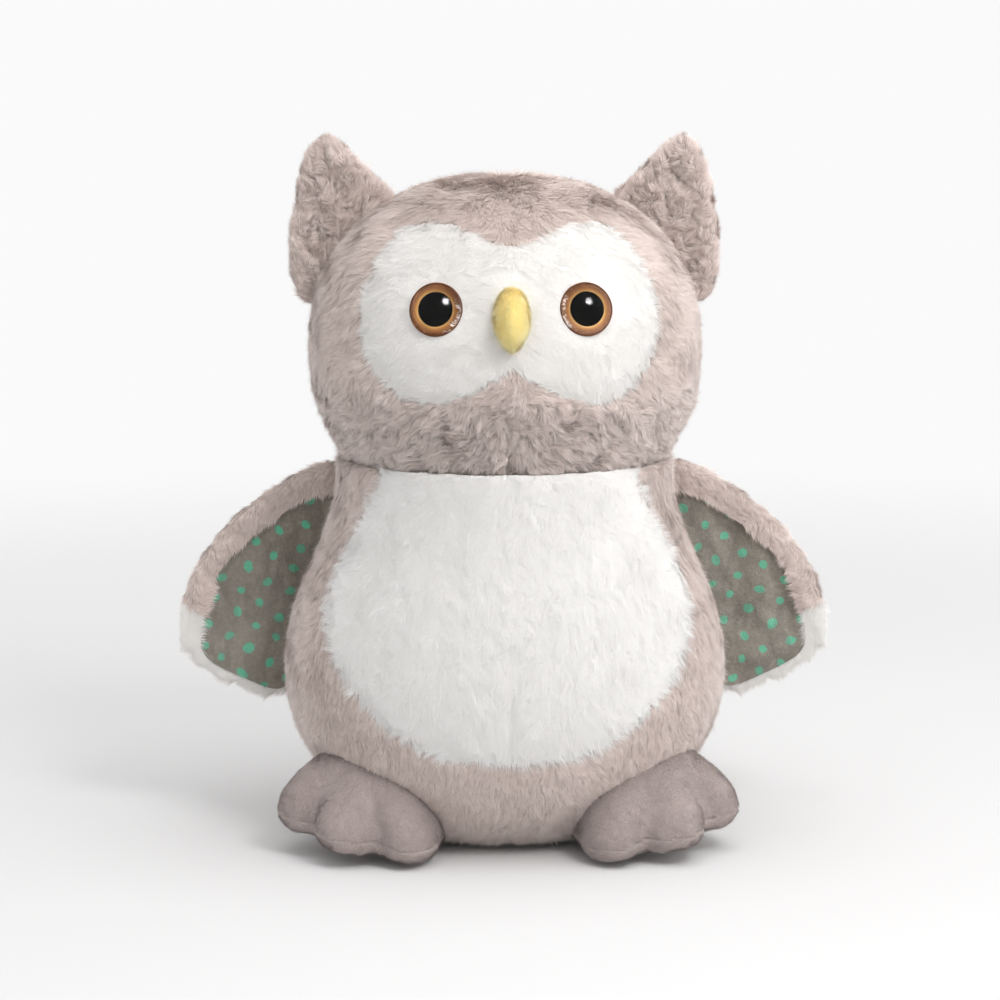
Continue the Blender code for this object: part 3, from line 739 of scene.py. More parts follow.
# Painted light: the same white fibre as the face, made paler to make up for the shade the head casts
# on the tummy.
PAINTED_LIGHT_TUMMY_FIBRE = FibreCoat(
    "white_tummy_fibre", (0.965, 0.95, 0.93), (0.955, 0.94, 0.92), (1.0, 0.995, 0.98)
)
VELOUR_FIBRE = FibreCoat(
    "grey_velour_fibre", (0.30, 0.245, 0.23), (0.36, 0.295, 0.28), (0.62, 0.54, 0.515)
)
BEAK_FIBRE = FibreCoat(
    "yellow_velour_fibre", (1.0, 0.74, 0.22), (1.0, 0.82, 0.30), (1.0, 0.97, 0.55), sheen=0.8
)
GREY_BACKING = Backing("grey_plush_backing", (0.60, 0.51, 0.47), (0.55, 0.465, 0.43))
WHITE_BACKING = Backing("white_plush_backing", (0.98, 0.97, 0.95), (0.96, 0.945, 0.92))
VELOUR_BACKING = Backing("grey_velour_backing", (0.42, 0.35, 0.33), (0.37, 0.31, 0.29))
BEAK_BACKING = Backing("yellow_velour_backing", (1.0, 0.84, 0.34), (1.0, 0.79, 0.27))
LINING = DottedCloth(
    "dotted_wing_lining", (0.30, 0.275, 0.23), (0.245, 0.223, 0.185), (0.13, 0.50, 0.32)
)
IRIS = IrisPaint(
    "amber_iris_paint",
    (
        (0.0, (0.004, 0.002, 0.001)), (0.585, (0.006, 0.003, 0.002)),
        (0.60, (0.08, 0.03, 0.008)), (0.62, (0.46, 0.29, 0.10)),
        (0.66, (0.31, 0.16, 0.046)), (0.73, (0.18, 0.074, 0.020)),
        (0.84, (0.105, 0.037, 0.010)), (1.0, (0.055, 0.018, 0.006)),
    ),
)
CLEAR = HardFinish("clear_dome", (1.0, 1.0, 1.0), 0.1, clear=1.0, ior=1.18)
BLACK = HardFinish("black_pupil", (0.002, 0.002, 0.002), 0.5, shine=0.0)
BROWN = HardFinish("brown_eye_cup", (0.13, 0.042, 0.012), 0.45, shine=0.25)
WASHER = HardFinish("white_washer", (0.78, 0.78, 0.75), 0.5)
FIBRE = Filling("loose_fibre", (0.85, 0.85, 0.83), 0.004)
BAG = Filling("pellet_bag_cloth", (0.72, 0.70, 0.64), 0.0015)


# Piles


@dataclass
class Comb:
    """Which way a pile lies: a plain direction, swirled by soft noise."""

    lay: Mask
    swirl: float = 0.5
    cell: float = 0.012
    seed: int = 1

    def directions(self, places: Array, normals: Array) -> Array:
        """The lie of the pile at each place.

        Args:
            places: Where fibres stand.
            normals: The skin's outward directions there.

        Returns:
            Unit vectors that lie in the skin.
        """
        flat = flattened(self.lay(places), normals)
        flat = unit(flat + 1e-5 * unit(np.cross(normals, [0.3, 0.5, 0.8])))
        turn = self.swirl * soft_noise(places, self.cell, self.seed)
        turn = turn + 0.4 * self.swirl * soft_noise(places, self.cell * 0.35, self.seed + 9)
        return turned(flat, np.cross(normals, flat), turn)


@dataclass(frozen=True)
class Pile:
    """Fine cut fibres that lie over a skin, gathered in soft locks with a soft relief.

    Lengths are in metres. Lean and stray are angles from the skin's normal and to the side,
    loose is the share of fibres that stand up, crinkle how far the relief is folded, curl
    and gather how far a lock turns and closes, mottle how far the tint varies at random and
    how much the relief's rises are painted lighter and its hollows painted darker, facing how
    far the shading varies, bedding how deep a root sits, and seam_shade how much
    painted shade a metre of depth in a seam puts on its tint.
    """

    finish: FibreCoat
    length: float = 0.0036
    width: float = 0.00027
    per_square_mm: float = 7.5
    lean: float = 1.28
    stray: float = 0.08
    loose: float = 0.05
    relief: float = 0.0005
    relief_cell: float = 0.0048
    crinkle: float = 0.6
    lock: float = 0.0020
    curl: float = 0.6
    gather: float = 0.0009
    mottle: float = 0.13
    facing: float = 0.1
    bedding: float = 0.0002
    seam_shade: float = 250.0

    def grow(
        self,
        skin: Object,
        name: str,
        comb: Comb,
        keep: Mask | None = None,
        tame: Mask = lambda points: points,
        short: Mask = lambda roots: 1,
        rough: Mask = lambda roots: np.ones(len(roots)),
        crease: Mask = lambda roots: np.zeros(len(roots)),
        shade: Mask = lambda roots: 0,
    ) -> Object:
        """Make the fibres of one skin as a mesh.

        Args:
            skin: The skin, whose faces all point outwards.
            name: The pile's name.
            comb: Which way the pile lies.
            keep: Says which roots stay.
            tame: Moves points of fibres out of what they may not enter.
            short: Gives a share of the length at each root.
            rough: Gives how much more the pile curls at each root.
            crease: Gives how far each root sinks into a seam, and so how much painted shade it gets.
            shade: Gives how much painted shade darkens the tint at each root; where it is negative,
                painted light pales it.

        Returns:
            The pile, with its tint and reach at each point and a map of the two.
        """
        rng = np.random.default_rng(zlib.crc32(name.encode()))
        root, normal = self._roots(skin, rng)
        if keep is not None:
            kept = keep(root)
            root, normal = root[kept], normal[kept]
        count = len(root)
        wild = rough(root)
        flow = comb.directions(root, normal)
        flow = turned(
            flow, np.cross(normal, flow), self.curl * wild * soft_noise(root, self.lock * 2.4, 61)
        )
        length = self.length * np.clip(1 + 0.2 * rng.standard_normal(count), 0.5, 1.5)
        length = length * short(root)
        rise, bumpy = self._relief(root, normal, wild)
        sunk = crease(root)
        drift = flattened(noise_vectors(root, self.lock, 31), normal)
        tilt = self.lean + self.stray * rng.standard_normal(count)
        tilt = tilt - 0.22 * np.maximum(wild - 1, 0) + 0.13 * soft_noise(root, self.lock, 35)
        tilt = np.clip(tilt - 0.5 * (rng.random(count) < self.loose), 0.15, 1.45)
        aside = self.stray * 1.3 * rng.standard_normal(count)
        beside = np.cross(flow, normal)
        way = unit(turned(normal, flow, tilt) + beside * aside[:, None])
        start = root + normal * (rise + self.relief * wild - self.bedding - sunk)[:, None]
        tip = start + way * length[:, None] + drift * (self.gather * wild)[:, None]
        across = unit(turned(beside, normal, 0.25 * rng.standard_normal(count)))
        half = across * (self.width / 2 * rng.uniform(0.7, 1.35, count))[:, None]
        start, tip = tame(start), tame(tip)
        facing = unit(np.cross(across, unit(tip - start)))
        flipped = (facing * normal).sum(axis=1) < 0
        facing = np.where(flipped[:, None], -facing, facing)
        # Painted shade: the tint darkens where a root sinks into a seam and in the relief's hollows,
        # and is painted lighter on its rises; the shade mask adds painted shade or light; the rest
        # varies at random.
        tone = 0.5 + 0.09 * rng.standard_normal(count) - self.seam_shade * sunk
        tone = tone + self.mottle * rise / self.relief - shade(root)
        patchy = 0.6 * soft_noise(root, self.lock, 78) + 0.6 * soft_noise(root, 0.011, 77)
        tint = np.clip(tone + self.mottle * patchy, 0.02, 0.98)
        return self._mesh(
            name, np.stack([start - half, start + half, tip], axis=1), flipped,
            unit(bumpy * (1 - self.facing) + facing * self.facing), tint,
        )

    def _relief(self, root: Array, normal: Array, wild: Array) -> tuple[Array, Array]:
        """How far the pile rises in soft bumps, and the directions its bumps face."""

        def height(places: Array) -> Array:
            wide = soft_noise(places, self.relief_cell, 91)
            fine = soft_noise(places, self.relief_cell * 0.55, 92)
            folds = 1 - 1.2 * bell(wide, 0.22) - 0.8 * bell(fine, 0.25)
            return self.crinkle * folds + (1 - self.crinkle) * (wide + 0.45 * fine)

        side = unit(np.cross(normal, [0.31, 0.12, 0.94]))
        step = 0.0004
        rise = height(root)
        slope = 0
        for way in (side, np.cross(normal, side)):
            slope = slope + way * ((height(root + way * step) - rise) / step)[:, None]
        depth = self.relief * wild
        return rise * depth, unit(normal - slope * depth[:, None])

    def _roots(self, skin: Object, rng: np.random.Generator) -> tuple[Array, Array]:
        """Even but unruly places on a skin, with its normals there."""
        mesh = skin.data
        mesh.calc_loop_triangles()
        corners = np.empty(len(mesh.loop_triangles) * 3, dtype=np.int64)
        mesh.loop_triangles.foreach_get("vertices", corners)
        corners = corners.reshape(-1, 3)
        places = vertex_array(mesh)[corners]
        normals = vertex_array(mesh, "normal")[corners]
        sides = places[:, 1:] - places[:, :1]
        areas = np.linalg.norm(np.cross(sides[:, 0], sides[:, 1]), axis=1) / 2
        total = areas.sum()
        count = int(total * self.per_square_mm * 1e6)
        wanted = (np.arange(count) + rng.random(count)) / count * total
        chosen = np.minimum(np.searchsorted(np.cumsum(areas), wanted), len(areas) - 1)
        side = np.sqrt(rng.random(count))
        other = rng.random(count)
        weights = joined(1 - side, side * (1 - other), side * other)[:, :, None]
        return (places[chosen] * weights).sum(axis=1), unit((normals[chosen] * weights).sum(axis=1))

    def _mesh(
        self, name: str, places: Array, flipped: Array, shading: Array, tint: Array
    ) -> Object:
        """Turn fibres, each of two root points and a tip, into one mesh object."""
        count = len(places)
        mesh = bpy.data.meshes.new(name)
        mesh.vertices.add(count * 3)
        mesh.vertices.foreach_set("co", places.ravel())
        order = np.where(flipped[:, None], [[0, 2, 1]], [[0, 1, 2]])
        corners = (np.arange(count)[:, None] * 3 + order).ravel()
        mesh.loops.add(len(corners))
        mesh.loops.foreach_set("vertex_index", corners)
        mesh.polygons.add(count)
        mesh.polygons.foreach_set("loop_start", np.arange(count) * 3)
        mesh.update(calc_edges=True)
        tints = (tint[:, None] + np.array([-0.004, 0.004, 0.0])).ravel()
        reach = np.tile([0.0, 0.0, 1.0], count)
        add_values(mesh, "tint", tints)
        add_values(mesh, "reach", reach)
        chart = mesh.uv_layers.new(name="OFBake")
        chart.data.foreach_set("uv", joined(tints, 0.01 + 0.98 * reach)[corners].ravel())
        pile = smooth_shaded(new_object(name, mesh))
        mesh.normals_split_custom_set_from_vertices(np.repeat(shading, 3, axis=0))
        return self.finish.dress(pile)


def white_pile(finish: FibreCoat = WHITE_FIBRE) -> Pile:
    """The smooth, matted white pile of the face, the tummy and the wing tips."""
    return Pile(
        finish, length=0.0032, width=0.00018, per_square_mm=7.0, relief=0.00026,
        relief_cell=0.0035, crinkle=0.25, lean=1.34, stray=0.07, loose=0.04, curl=0.6,
        gather=0.0008, mottle=0.16, facing=0.08,
    )


# Stuffed forms


@dataclass
class Stuffing:
    """How full a form is: it is remeshed, blown up between its seams and held back."""

    voxel: float = 0.005
    pressure: float = 4.0
    cap: float = 0.0022
    frames: int = 20
    seam_width: float = 0.003
    seam_depth: float = 0.0009

    def fill(self, form: Object, seam_distance: Mask) -> None:
        """Swell a closed form between its seams, then smooth it.

        Args:
            form: The form, a little smaller than it ends up.
            seam_distance: Gives how far each place is from the nearest seam.
        """
        even_faces(form, self.voxel)
        before = vertex_array(form.data)
        move = self._blown_up(form, seam_distance(before) < self.voxel * 0.6) - before
        length = np.maximum(lengths(move), 1e-9)
        set_places(form, before + move / length * self.cap * np.tanh(length / self.cap))
        split_faces(form)
        places = vertex_array(form.data)
        pinch = self.seam_depth * bell(seam_distance(places), self.seam_width)
        set_places(form, places - vertex_array(form.data, "normal") * pinch[:, None])

    def _blown_up(self, form: Object, held: Array) -> Array:
        """Where the cloth ends up under pressure, with its seams held."""
        seams = form.vertex_groups.new(name="seams")
        seams.add([int(index) for index in np.flatnonzero(held)], 1.0, "REPLACE")
        cloth = form.modifiers.new("swell", "CLOTH")
        cloth.settings.quality = 3
        cloth.settings.use_pressure = True
        cloth.settings.uniform_pressure_force = self.pressure
        cloth.settings.effector_weights.gravity = 0
        cloth.settings.vertex_group_mass = seams.name
        scene = bpy.context.scene
        for number in range(1, self.frames + 1):
            scene.frame_set(number)
        graph = bpy.context.evaluated_depsgraph_get()
        shown = form.evaluated_get(graph)
        after = vertex_array(shown.to_mesh())
        shown.to_mesh_clear()
        form.modifiers.remove(cloth)
        form.vertex_groups.clear()
        scene.frame_set(1)
        return after


@dataclass(frozen=True)
class Cloth:
    """One kind of plush: its ground and pile, its slot in the record and how full it is."""

    backing: Finish
    pile: Pile
    slot: str
    fill: float
    thickness: float = 0.0012


@dataclass
class Dresser:
    """Hands finished pieces to the frame and reports them."""

    body: str

    def add(
        self,
        piece: Object,
        slot: str,
        nodes: Sequence[str] = (),
        fill: float | None = None,
    ) -> None:
        """Let a piece ride on a body.

        Args:
            piece: The finished piece.
            slot: The record's material slot; not used.
            nodes: The nodes that it stands for.
            fill: How full it is, if it is padded; not used.
        """
        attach(piece, self.body)
        if nodes:
            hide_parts(*nodes)
        log.info("%s: %d faces on %s", piece.name, len(piece.data.polygons), self.body)

    def cover(
        self,
        form: Object,
        name: str,
        wanted: Array,
        cloth: Cloth,
        comb: Comb,
        node: str | None = None,
        **masks: Mask,
    ) -> None:
        """Cut one panel out of a form, grow its pile and give it its wall, inwards.

        Args:
            form: The form.
            name: What the names of skin and pile begin with.
            wanted: Which faces of the form belong to the panel.
            cloth: What it is made of.
            comb: Which way its pile lies.
            node: The node that it stands for, if that has another name.
            **masks: What Pile.grow takes.
        """
        skin = cloth.backing.dress(smooth_shaded(keep_faces(form, name + "_skin", wanted)))
        pile = cloth.pile.grow(skin, name + "_pile", comb, **masks)
        apply_modifier(skin, "SOLIDIFY", thickness=cloth.thickness, offset=-1)
        self.add(skin, cloth.slot, [node or name], cloth.fill)
        self.add(pile, cloth.slot)

    def stuff(self, form: Object, name: str, node: str, fill: float) -> None:
        """Turn a form whose skins are made into the loose fibre under them."""
        form.name = form.data.name = name
        shrink(form, FILLING_GAP)
        even_faces(form, FILLING_FACE)
        self.add(smooth_shaded(FIBRE.dress(form)), "fibre", [node], fill)


@dataclass
class Body:
    """The pear-shaped body with its white tummy panel and round base.

    Rows hold, from the bottom up, shares of the height, the half width and the half depth.
    """

    height: float = 0.202
    half_width: float = 0.093
    half_depth: float = 0.080
    side_seam_y: float = 0.020
    inset: float = 0.0014
    rows: tuple[tuple[float, float, float], ...] = (
        (0.0, 0.0, 0.0), (0.0, 0.27, 0.29), (0.0, 0.48, 0.46), (0.042, 0.68, 0.66),
        (0.128, 0.83, 0.85), (0.240, 0.965, 0.965), (0.365, 1.0, 1.0), (0.490, 0.945, 0.98),
        (0.615, 0.83, 0.93), (0.715, 0.765, 0.90), (0.810, 0.75, 0.885), (0.900, 0.67, 0.77),
        (0.960, 0.48, 0.56), (0.990, 0.24, 0.28), (1.0, 0.0, 0.0),
    )
    tummy_half_width: float = 0.074
    tummy_low: float = 0.043
    tummy_high: float = 0.172
    tummy_half: Shares = (
        (0.35, 1.0), (0.66, 0.94), (0.70, 0.86), (0.80, 0.74), (0.915, 0.60), (0.985, 0.49),
        (1.0, 0.41), (0.965, 0.32), (0.90, 0.245), (0.79, 0.175), (0.65, 0.105), (0.45, 0.045),
        (0.22, 0.01),
    )
    dart_top: float = 0.095
    base_radius: float = 0.047
    base_oval: float = 0.84
    base_top: float = 0.02
    neck: tuple[float, float, float] = (0.0, 0.0, 0.2055)
    neck_radius: float = 0.0824
    neck_hole: float = 0.050
    grey: Cloth = Cloth(GREY_BACKING, Pile(GREY_FIBRE), "grey_plush", 0.8)
    # The tummy's pile takes the paler copy of the white fibre, as painted light.
    white: Cloth = Cloth(WHITE_BACKING, white_pile(PAINTED_LIGHT_TUMMY_FIBRE), "white_plush", 0.8)

    def __post_init__(self) -> None:
        """Work out the tummy panel's outline."""
        self.tummy = patch_loop(
            self.tummy_half, self.tummy_half_width, self.tummy_low, self.tummy_high
        )

    def profile(self, places: Array) -> Array:
        """The rows at some places, counted in rows."""
        return spline_rows(np.array(self.rows), places, closed=False)

    def depth_inside(self, places: Array) -> Array:
        """Roughly how deep each place is inside the body, and negative outside."""
        table = self.profile(np.linspace(0, len(self.rows) - 1, 400))
        table = table[np.argsort(table[:, 0], kind="stable")]
        level = places[:, 2] / self.height
        width = self.half_width * np.interp(level, table[:, 0], table[:, 1])
        depth = self.half_depth * np.interp(level, table[:, 0], table[:, 2])
        width, depth = np.maximum(width, 1e-4), np.maximum(depth, 1e-4)
        share = np.hypot(places[:, 0] / width, places[:, 1] / depth)
        return (1 - share) * np.minimum(width, depth)

    def in_tummy(self, places: Array, fray: float = 0.0) -> Array:
        """Which places lie on the tummy panel, its edge frayed by some metres."""
        return in_patch(places, self.tummy, fray, 5)

    def seam_distance(self, places: Array) -> Array:
        """How far each place is from the body's nearest seam."""
        tummy = np.where(places[:, 1] < 0, loop_distance(places[:, [0, 2]], self.tummy), 1.0)
        above_dart = self.in_tummy(places) & (places[:, 2] > self.dart_top)
        middle = np.abs(places[:, 0]) + np.where(above_dart, 0.01, 0)
        side = np.abs(places[:, 1] - self.side_seam_y)
        base = np.abs(self.off_axis(places) - self.base_radius)
        base = base + np.where(places[:, 2] > self.base_top, 1.0, 0)
        return np.minimum.reduce([tummy, middle, side, base])

    def off_axis(self, places: Array) -> Array:
        """How far each place is from the middle of the oval base."""
        return np.hypot(places[:, 0], places[:, 1] / self.base_oval)

    def lay_grey(self, places: Array) -> Array:
        """The body's pile lies downwards and a little outwards."""
        x = places[:, 0]
        return joined(0.35 * np.sign(x) * step_up(0, 0.03, np.abs(x)), 0, -1)

    def lay_white(self, places: Array) -> Array:
        """The tummy's pile lies down, and outwards along its edge."""
        away = (places - [0, 0, (self.tummy_low + self.tummy_high) / 2]) * [1, 0, 1]
        near = np.exp(-loop_distance(places[:, [0, 2]], self.tummy) / 0.005)[:, None]
        return away / 0.06 * (0.25 + 2.5 * near) + [0, 0, -0.8]

    def tame(self, places: Array) -> Array:
        """Keep fibres out of the head's ball and above the ground."""
        away = places - self.neck
        distance = lengths(away)
        pushed = self.neck + away / np.maximum(distance, 1e-9) * self.neck_radius
        return above_ground(np.where(distance < self.neck_radius, pushed, places))

    def seat_head(self, form: Object) -> None:
        """Press the bowl that the head sits in into the body's top."""
        places = vertex_array(form.data)
        out = np.hypot(places[:, 0], places[:, 1])
        bowl = self.neck[2] - np.sqrt(np.maximum(0, self.neck_radius**2 - out**2))
        pressed = np.minimum(places[:, 2], bowl)
        places[:, 2] = np.where(out < self.neck_radius, pressed, places[:, 2])
        set_places(form, places)

    def off_bowl(self, places: Array) -> Array:
        """Which roots are outside the bowl."""
        return np.linalg.norm(places - self.neck, axis=1) > self.neck_radius + 0.0003

    def build(self) -> None:
        """Make the body's skins, piles and base."""
        form = add_ball("body_shape", 96, 56)
        polar, azimuth = ball_angles(form)
        height, width, depth = self.profile(polar / math.pi * (len(self.rows) - 1)).T
        x = self.half_width * width * np.cos(azimuth)
        y = self.half_depth * depth * np.sin(azimuth)
        set_places(form, joined(x, y, self.height * height))
        shrink(form, self.inset)
        Stuffing(seam_depth=0.0007).fill(form, self.seam_distance)
        self.seat_head(form)
        middles = face_middles(form)
        out, high = np.hypot(middles[:, 0], middles[:, 1]), middles[:, 2]
        shown = (out > self.neck_hole) | (high < self.height / 2)
        shown &= (self.off_axis(middles) > self.base_radius) | (high > self.base_top)
        tummy = self.in_tummy(middles)
        hand = Dresser("root")
        for region, quarter in quarters(middles, self.side_seam_y):
            hand.cover(
                form, f"body_{region}", shown & ~tummy & quarter, self.grey,
                Comb(self.lay_grey, swirl=0.75, cell=0.014, seed=3), tame=self.tame,
                keep=lambda p: ~self.in_tummy(p, FRAY) & self.off_bowl(p),
            )
        hand.cover(
            form, "tummy", shown & tummy, self.white,
            Comb(self.lay_white, swirl=0.9, cell=0.010, seed=13), "tummy_panel",
            tame=self.tame, keep=self.off_bowl, short=edge_mask(self.tummy, 0.003, 0.35),
            rough=edge_mask(self.tummy, 0.0025, 1.2),
        )
        remove_object(form)
        self.build_base(hand)

    def build_base(self, hand: Dresser) -> None:
        """Make the velour base that the owl sits on."""
        form = add_ball("base_skin", 64, 20)
        x, y, z = vertex_array(form.data).T
        out = np.hypot(x, y)
        wide = np.maximum(out, 1e-9)
        radius = 0.94 * self.base_radius * out
        height = 0.0030 + 0.0018 * np.sign(z) * np.maximum(0, 1 - out**6) ** 0.5
        set_places(form, joined(x / wide * radius, y / wide * radius * self.base_oval, height))
        smooth_shaded(form)
        pile = Pile(
            VELOUR_FIBRE, length=0.0014, width=0.0004, per_square_mm=3.0, relief=0.00002,
            gather=0.0001,
        ).grow(
            form, "base_pile", Comb(lambda p: p * [1, 1, 0], swirl=0.9),
            keep=lambda p: p[:, 2] < 0.005, tame=self.tame,
        )
        hand.add(VELOUR_BACKING.dress(form), "grey_velour", ["base_panel"], 0.7)
        hand.add(pile, "grey_velour")


@dataclass
class Head:
    """The round head with its two-lobed face panel."""

    radius: float = 0.0823
    centre_z: float = 0.2055
    crown: float = 0.0725
    crown_power: float = 2.25
    flattening: float = 0.004
    face_level: float = 0.25
    side_seam_y: float = 0.002
    inset: float = 0.0018
    face_half_width: float = 0.059
    face_low: float = 0.190
    face_high: float = 0.260
    face_half: Shares = (
        (0.0, 0.886), (0.17, 0.92), (0.36, 0.985), (0.54, 1.0), (0.70, 0.955), (0.82, 0.85),
        (0.92, 0.71), (0.975, 0.585), (1.0, 0.44), (0.985, 0.32), (0.93, 0.215), (0.82, 0.095),
        (0.69, 0.022), (0.53, 0.0), (0.37, 0.03), (0.22, 0.09), (0.10, 0.15), (0.0, 0.20),
    )
    eye_x: float = 0.030
    eye_z: float = 0.2275
    eye_clear: float = 0.0100
    beak_z: float = 0.2235
    beak_clear: tuple[float, float] = (0.0062, 0.0115)
    neck_hole: float = 0.046
    grey: Cloth = Cloth(GREY_BACKING, Pile(GREY_FIBRE, relief_cell=0.0040), "grey_plush", 0.8)
    white: Cloth = Cloth(WHITE_BACKING, white_pile(), "white_plush", 0.8)

    def __post_init__(self) -> None:
        """Work out the face panel's outline."""
        self.face = patch_loop(self.face_half, self.face_half_width, self.face_low, self.face_high)

    def surface(self, polar: Array, azimuth: Array) -> Array:
        """Places on the head's outer form: a flat crown, lean cheeks and a flat face."""
        up = -np.cos(polar)
        power = self.crown_power
        flat = np.maximum(0, 1 - np.maximum(up, 0) ** power) ** (1 / power)
        out = np.where(up > 0, flat, np.sin(polar))
        out = out * (1 - 0.035 * step_up(0.1, 0.5, -up) * (1 - step_up(0.55, 0.85, -up)))
        rise = np.where(up > 0, self.crown, self.radius) * up
        y = self.radius * out * np.sin(azimuth)
        level = np.clip((up + self.face_level) / (2 * self.face_level), 0, 1)
        facing = level * (np.maximum(0, -np.sin(azimuth)) * out) ** 2
        x = self.radius * out * np.cos(azimuth)
        return joined(x, y + self.flattening * facing, self.centre_z + rise)

    def in_face(self, places: Array, fray: float = 0.0) -> Array:
        """Which places lie on the face panel, its edge frayed by some metres."""
        return in_patch(places, self.face, fray, 15)

    def seam_distance(self, places: Array) -> Array:
        """How far each place is from the head's nearest seam."""
        front = places[:, 1] < 0
        face = np.where(front, loop_distance(places[:, [0, 2]], self.face), 1.0)
        middle = np.abs(places[:, 0]) + np.where(self.in_face(places), 1.0, 0)
        return np.minimum.reduce([face, middle, np.abs(places[:, 1] - self.side_seam_y)])

    def comb(self, seed: int, swirl: float, parting: float) -> Comb:
        """The head's pile lies away from the crown, and away from the eyes and the beak."""
        trim = ((-self.eye_x, self.eye_z, 0.010), (self.eye_x, self.eye_z, 0.010),
                (0, self.beak_z, 0.007))

        def lay(places: Array) -> Array:
            aside = np.clip(places[:, 0] / parting, -1, 1) + 0.35 * soft_noise(places, 0.006, 44)
            aside = aside * (1 - 0.85 * step_up(0.243, 0.268, places[:, 2]))
            flow = joined(aside, 0, -0.65)
            for x, z, near in trim:
                away = (places - [x, 0, z]) * [1, 0, 1]
                distance = lengths(away)
                pull = np.exp(-np.maximum(0, distance - 0.009) / near) * (places[:, 1:2] < 0)
                if x:
                    pull = pull * np.clip(0.2 + away[:, :1] / distance * np.sign(x), -0.5, 1)
                flow = flow + 4 * pull * away / np.maximum(distance, 1e-6)
            return flow

        return Comb(lay, swirl=swirl, cell=0.012, seed=seed)

    def clear_of_trim(self, places: Array) -> Array:
        """Which roots leave room for the eyes and the beak."""
        x, y, z = places.T
        wide, tall = self.beak_clear
        covered = np.hypot(x / wide, (z - self.beak_z) / tall) < 1
        for side in Side:
            off_eye = np.hypot((x - side.value * self.eye_x) * 1.08, z - self.eye_z)
            covered |= off_eye < self.eye_clear
        return ~(covered & (y < 0))

    def seen(self, places: Array) -> Array:
        """Which roots can show: those in the deep of the neck never do."""
        out = np.hypot(places[:, 0], places[:, 1])
        return (places[:, 2] >= self.centre_z) | (out >= self.neck_hole)

    def chin(self, places: Array) -> Array:
        """How rough the pile is: more so round the chin and the cheeks, and least on the crown."""
        low = 1 - step_up(0.180, 0.200, places[:, 2])
        high = step_up(0.235, 0.262, places[:, 2])
        return 1 + 1.9 * low * (1 - step_up(-0.02, 0.05, places[:, 1])) - 0.5 * high

    def crease(self, places: Array) -> Array:
        """How far the grey pile sinks along the seam over crown and chin, which also sets the
        painted shade along that seam.
        """
        wander = 0.0008 * soft_noise(places, 0.006, 47)
        deep = 0.0005 - 0.0003 * step_up(0.235, 0.262, places[:, 2])
        return deep * bell(places[:, 0] + wander, 0.0013)

    def near_trim(self, places: Array) -> Array:
        """How long the face's pile is: shorter beside the eyes."""
        share = np.ones(len(places))
        for side in Side:
            away = np.hypot(places[:, 0] - side.value * self.eye_x, places[:, 2] - self.eye_z)
            share = np.minimum(share, 0.5 + 0.5 * step_up(0.012, 0.012 + 0.007, away))
        return share

    def build(self) -> None:
        """Make the head's skins and piles."""
        form = add_ball("head_shape", 96, 64)
        set_places(form, self.surface(*ball_angles(form)))
        shrink(form, self.inset)
        Stuffing(seam_depth=0.0006).fill(form, self.seam_distance)
        middles = face_middles(form)
        face = self.in_face(middles)
        hand = Dresser("head")
        for region, quarter in quarters(middles, self.side_seam_y):
            hand.cover(
                form, f"head_{region}", ~face & quarter, self.grey, self.comb(4, 0.9, 0.012),
                rough=self.chin, crease=self.crease,
                keep=lambda p: ~self.in_face(p, FRAY) & self.seen(p),
            )
        hand.cover(
            form, "face", face, self.white, self.comb(5, 0.7, 0.045), "face_panel",
            keep=self.clear_of_trim, short=self.near_trim, rough=edge_mask(self.face, 0.0025, 1.0),
        )
        remove_object(form)


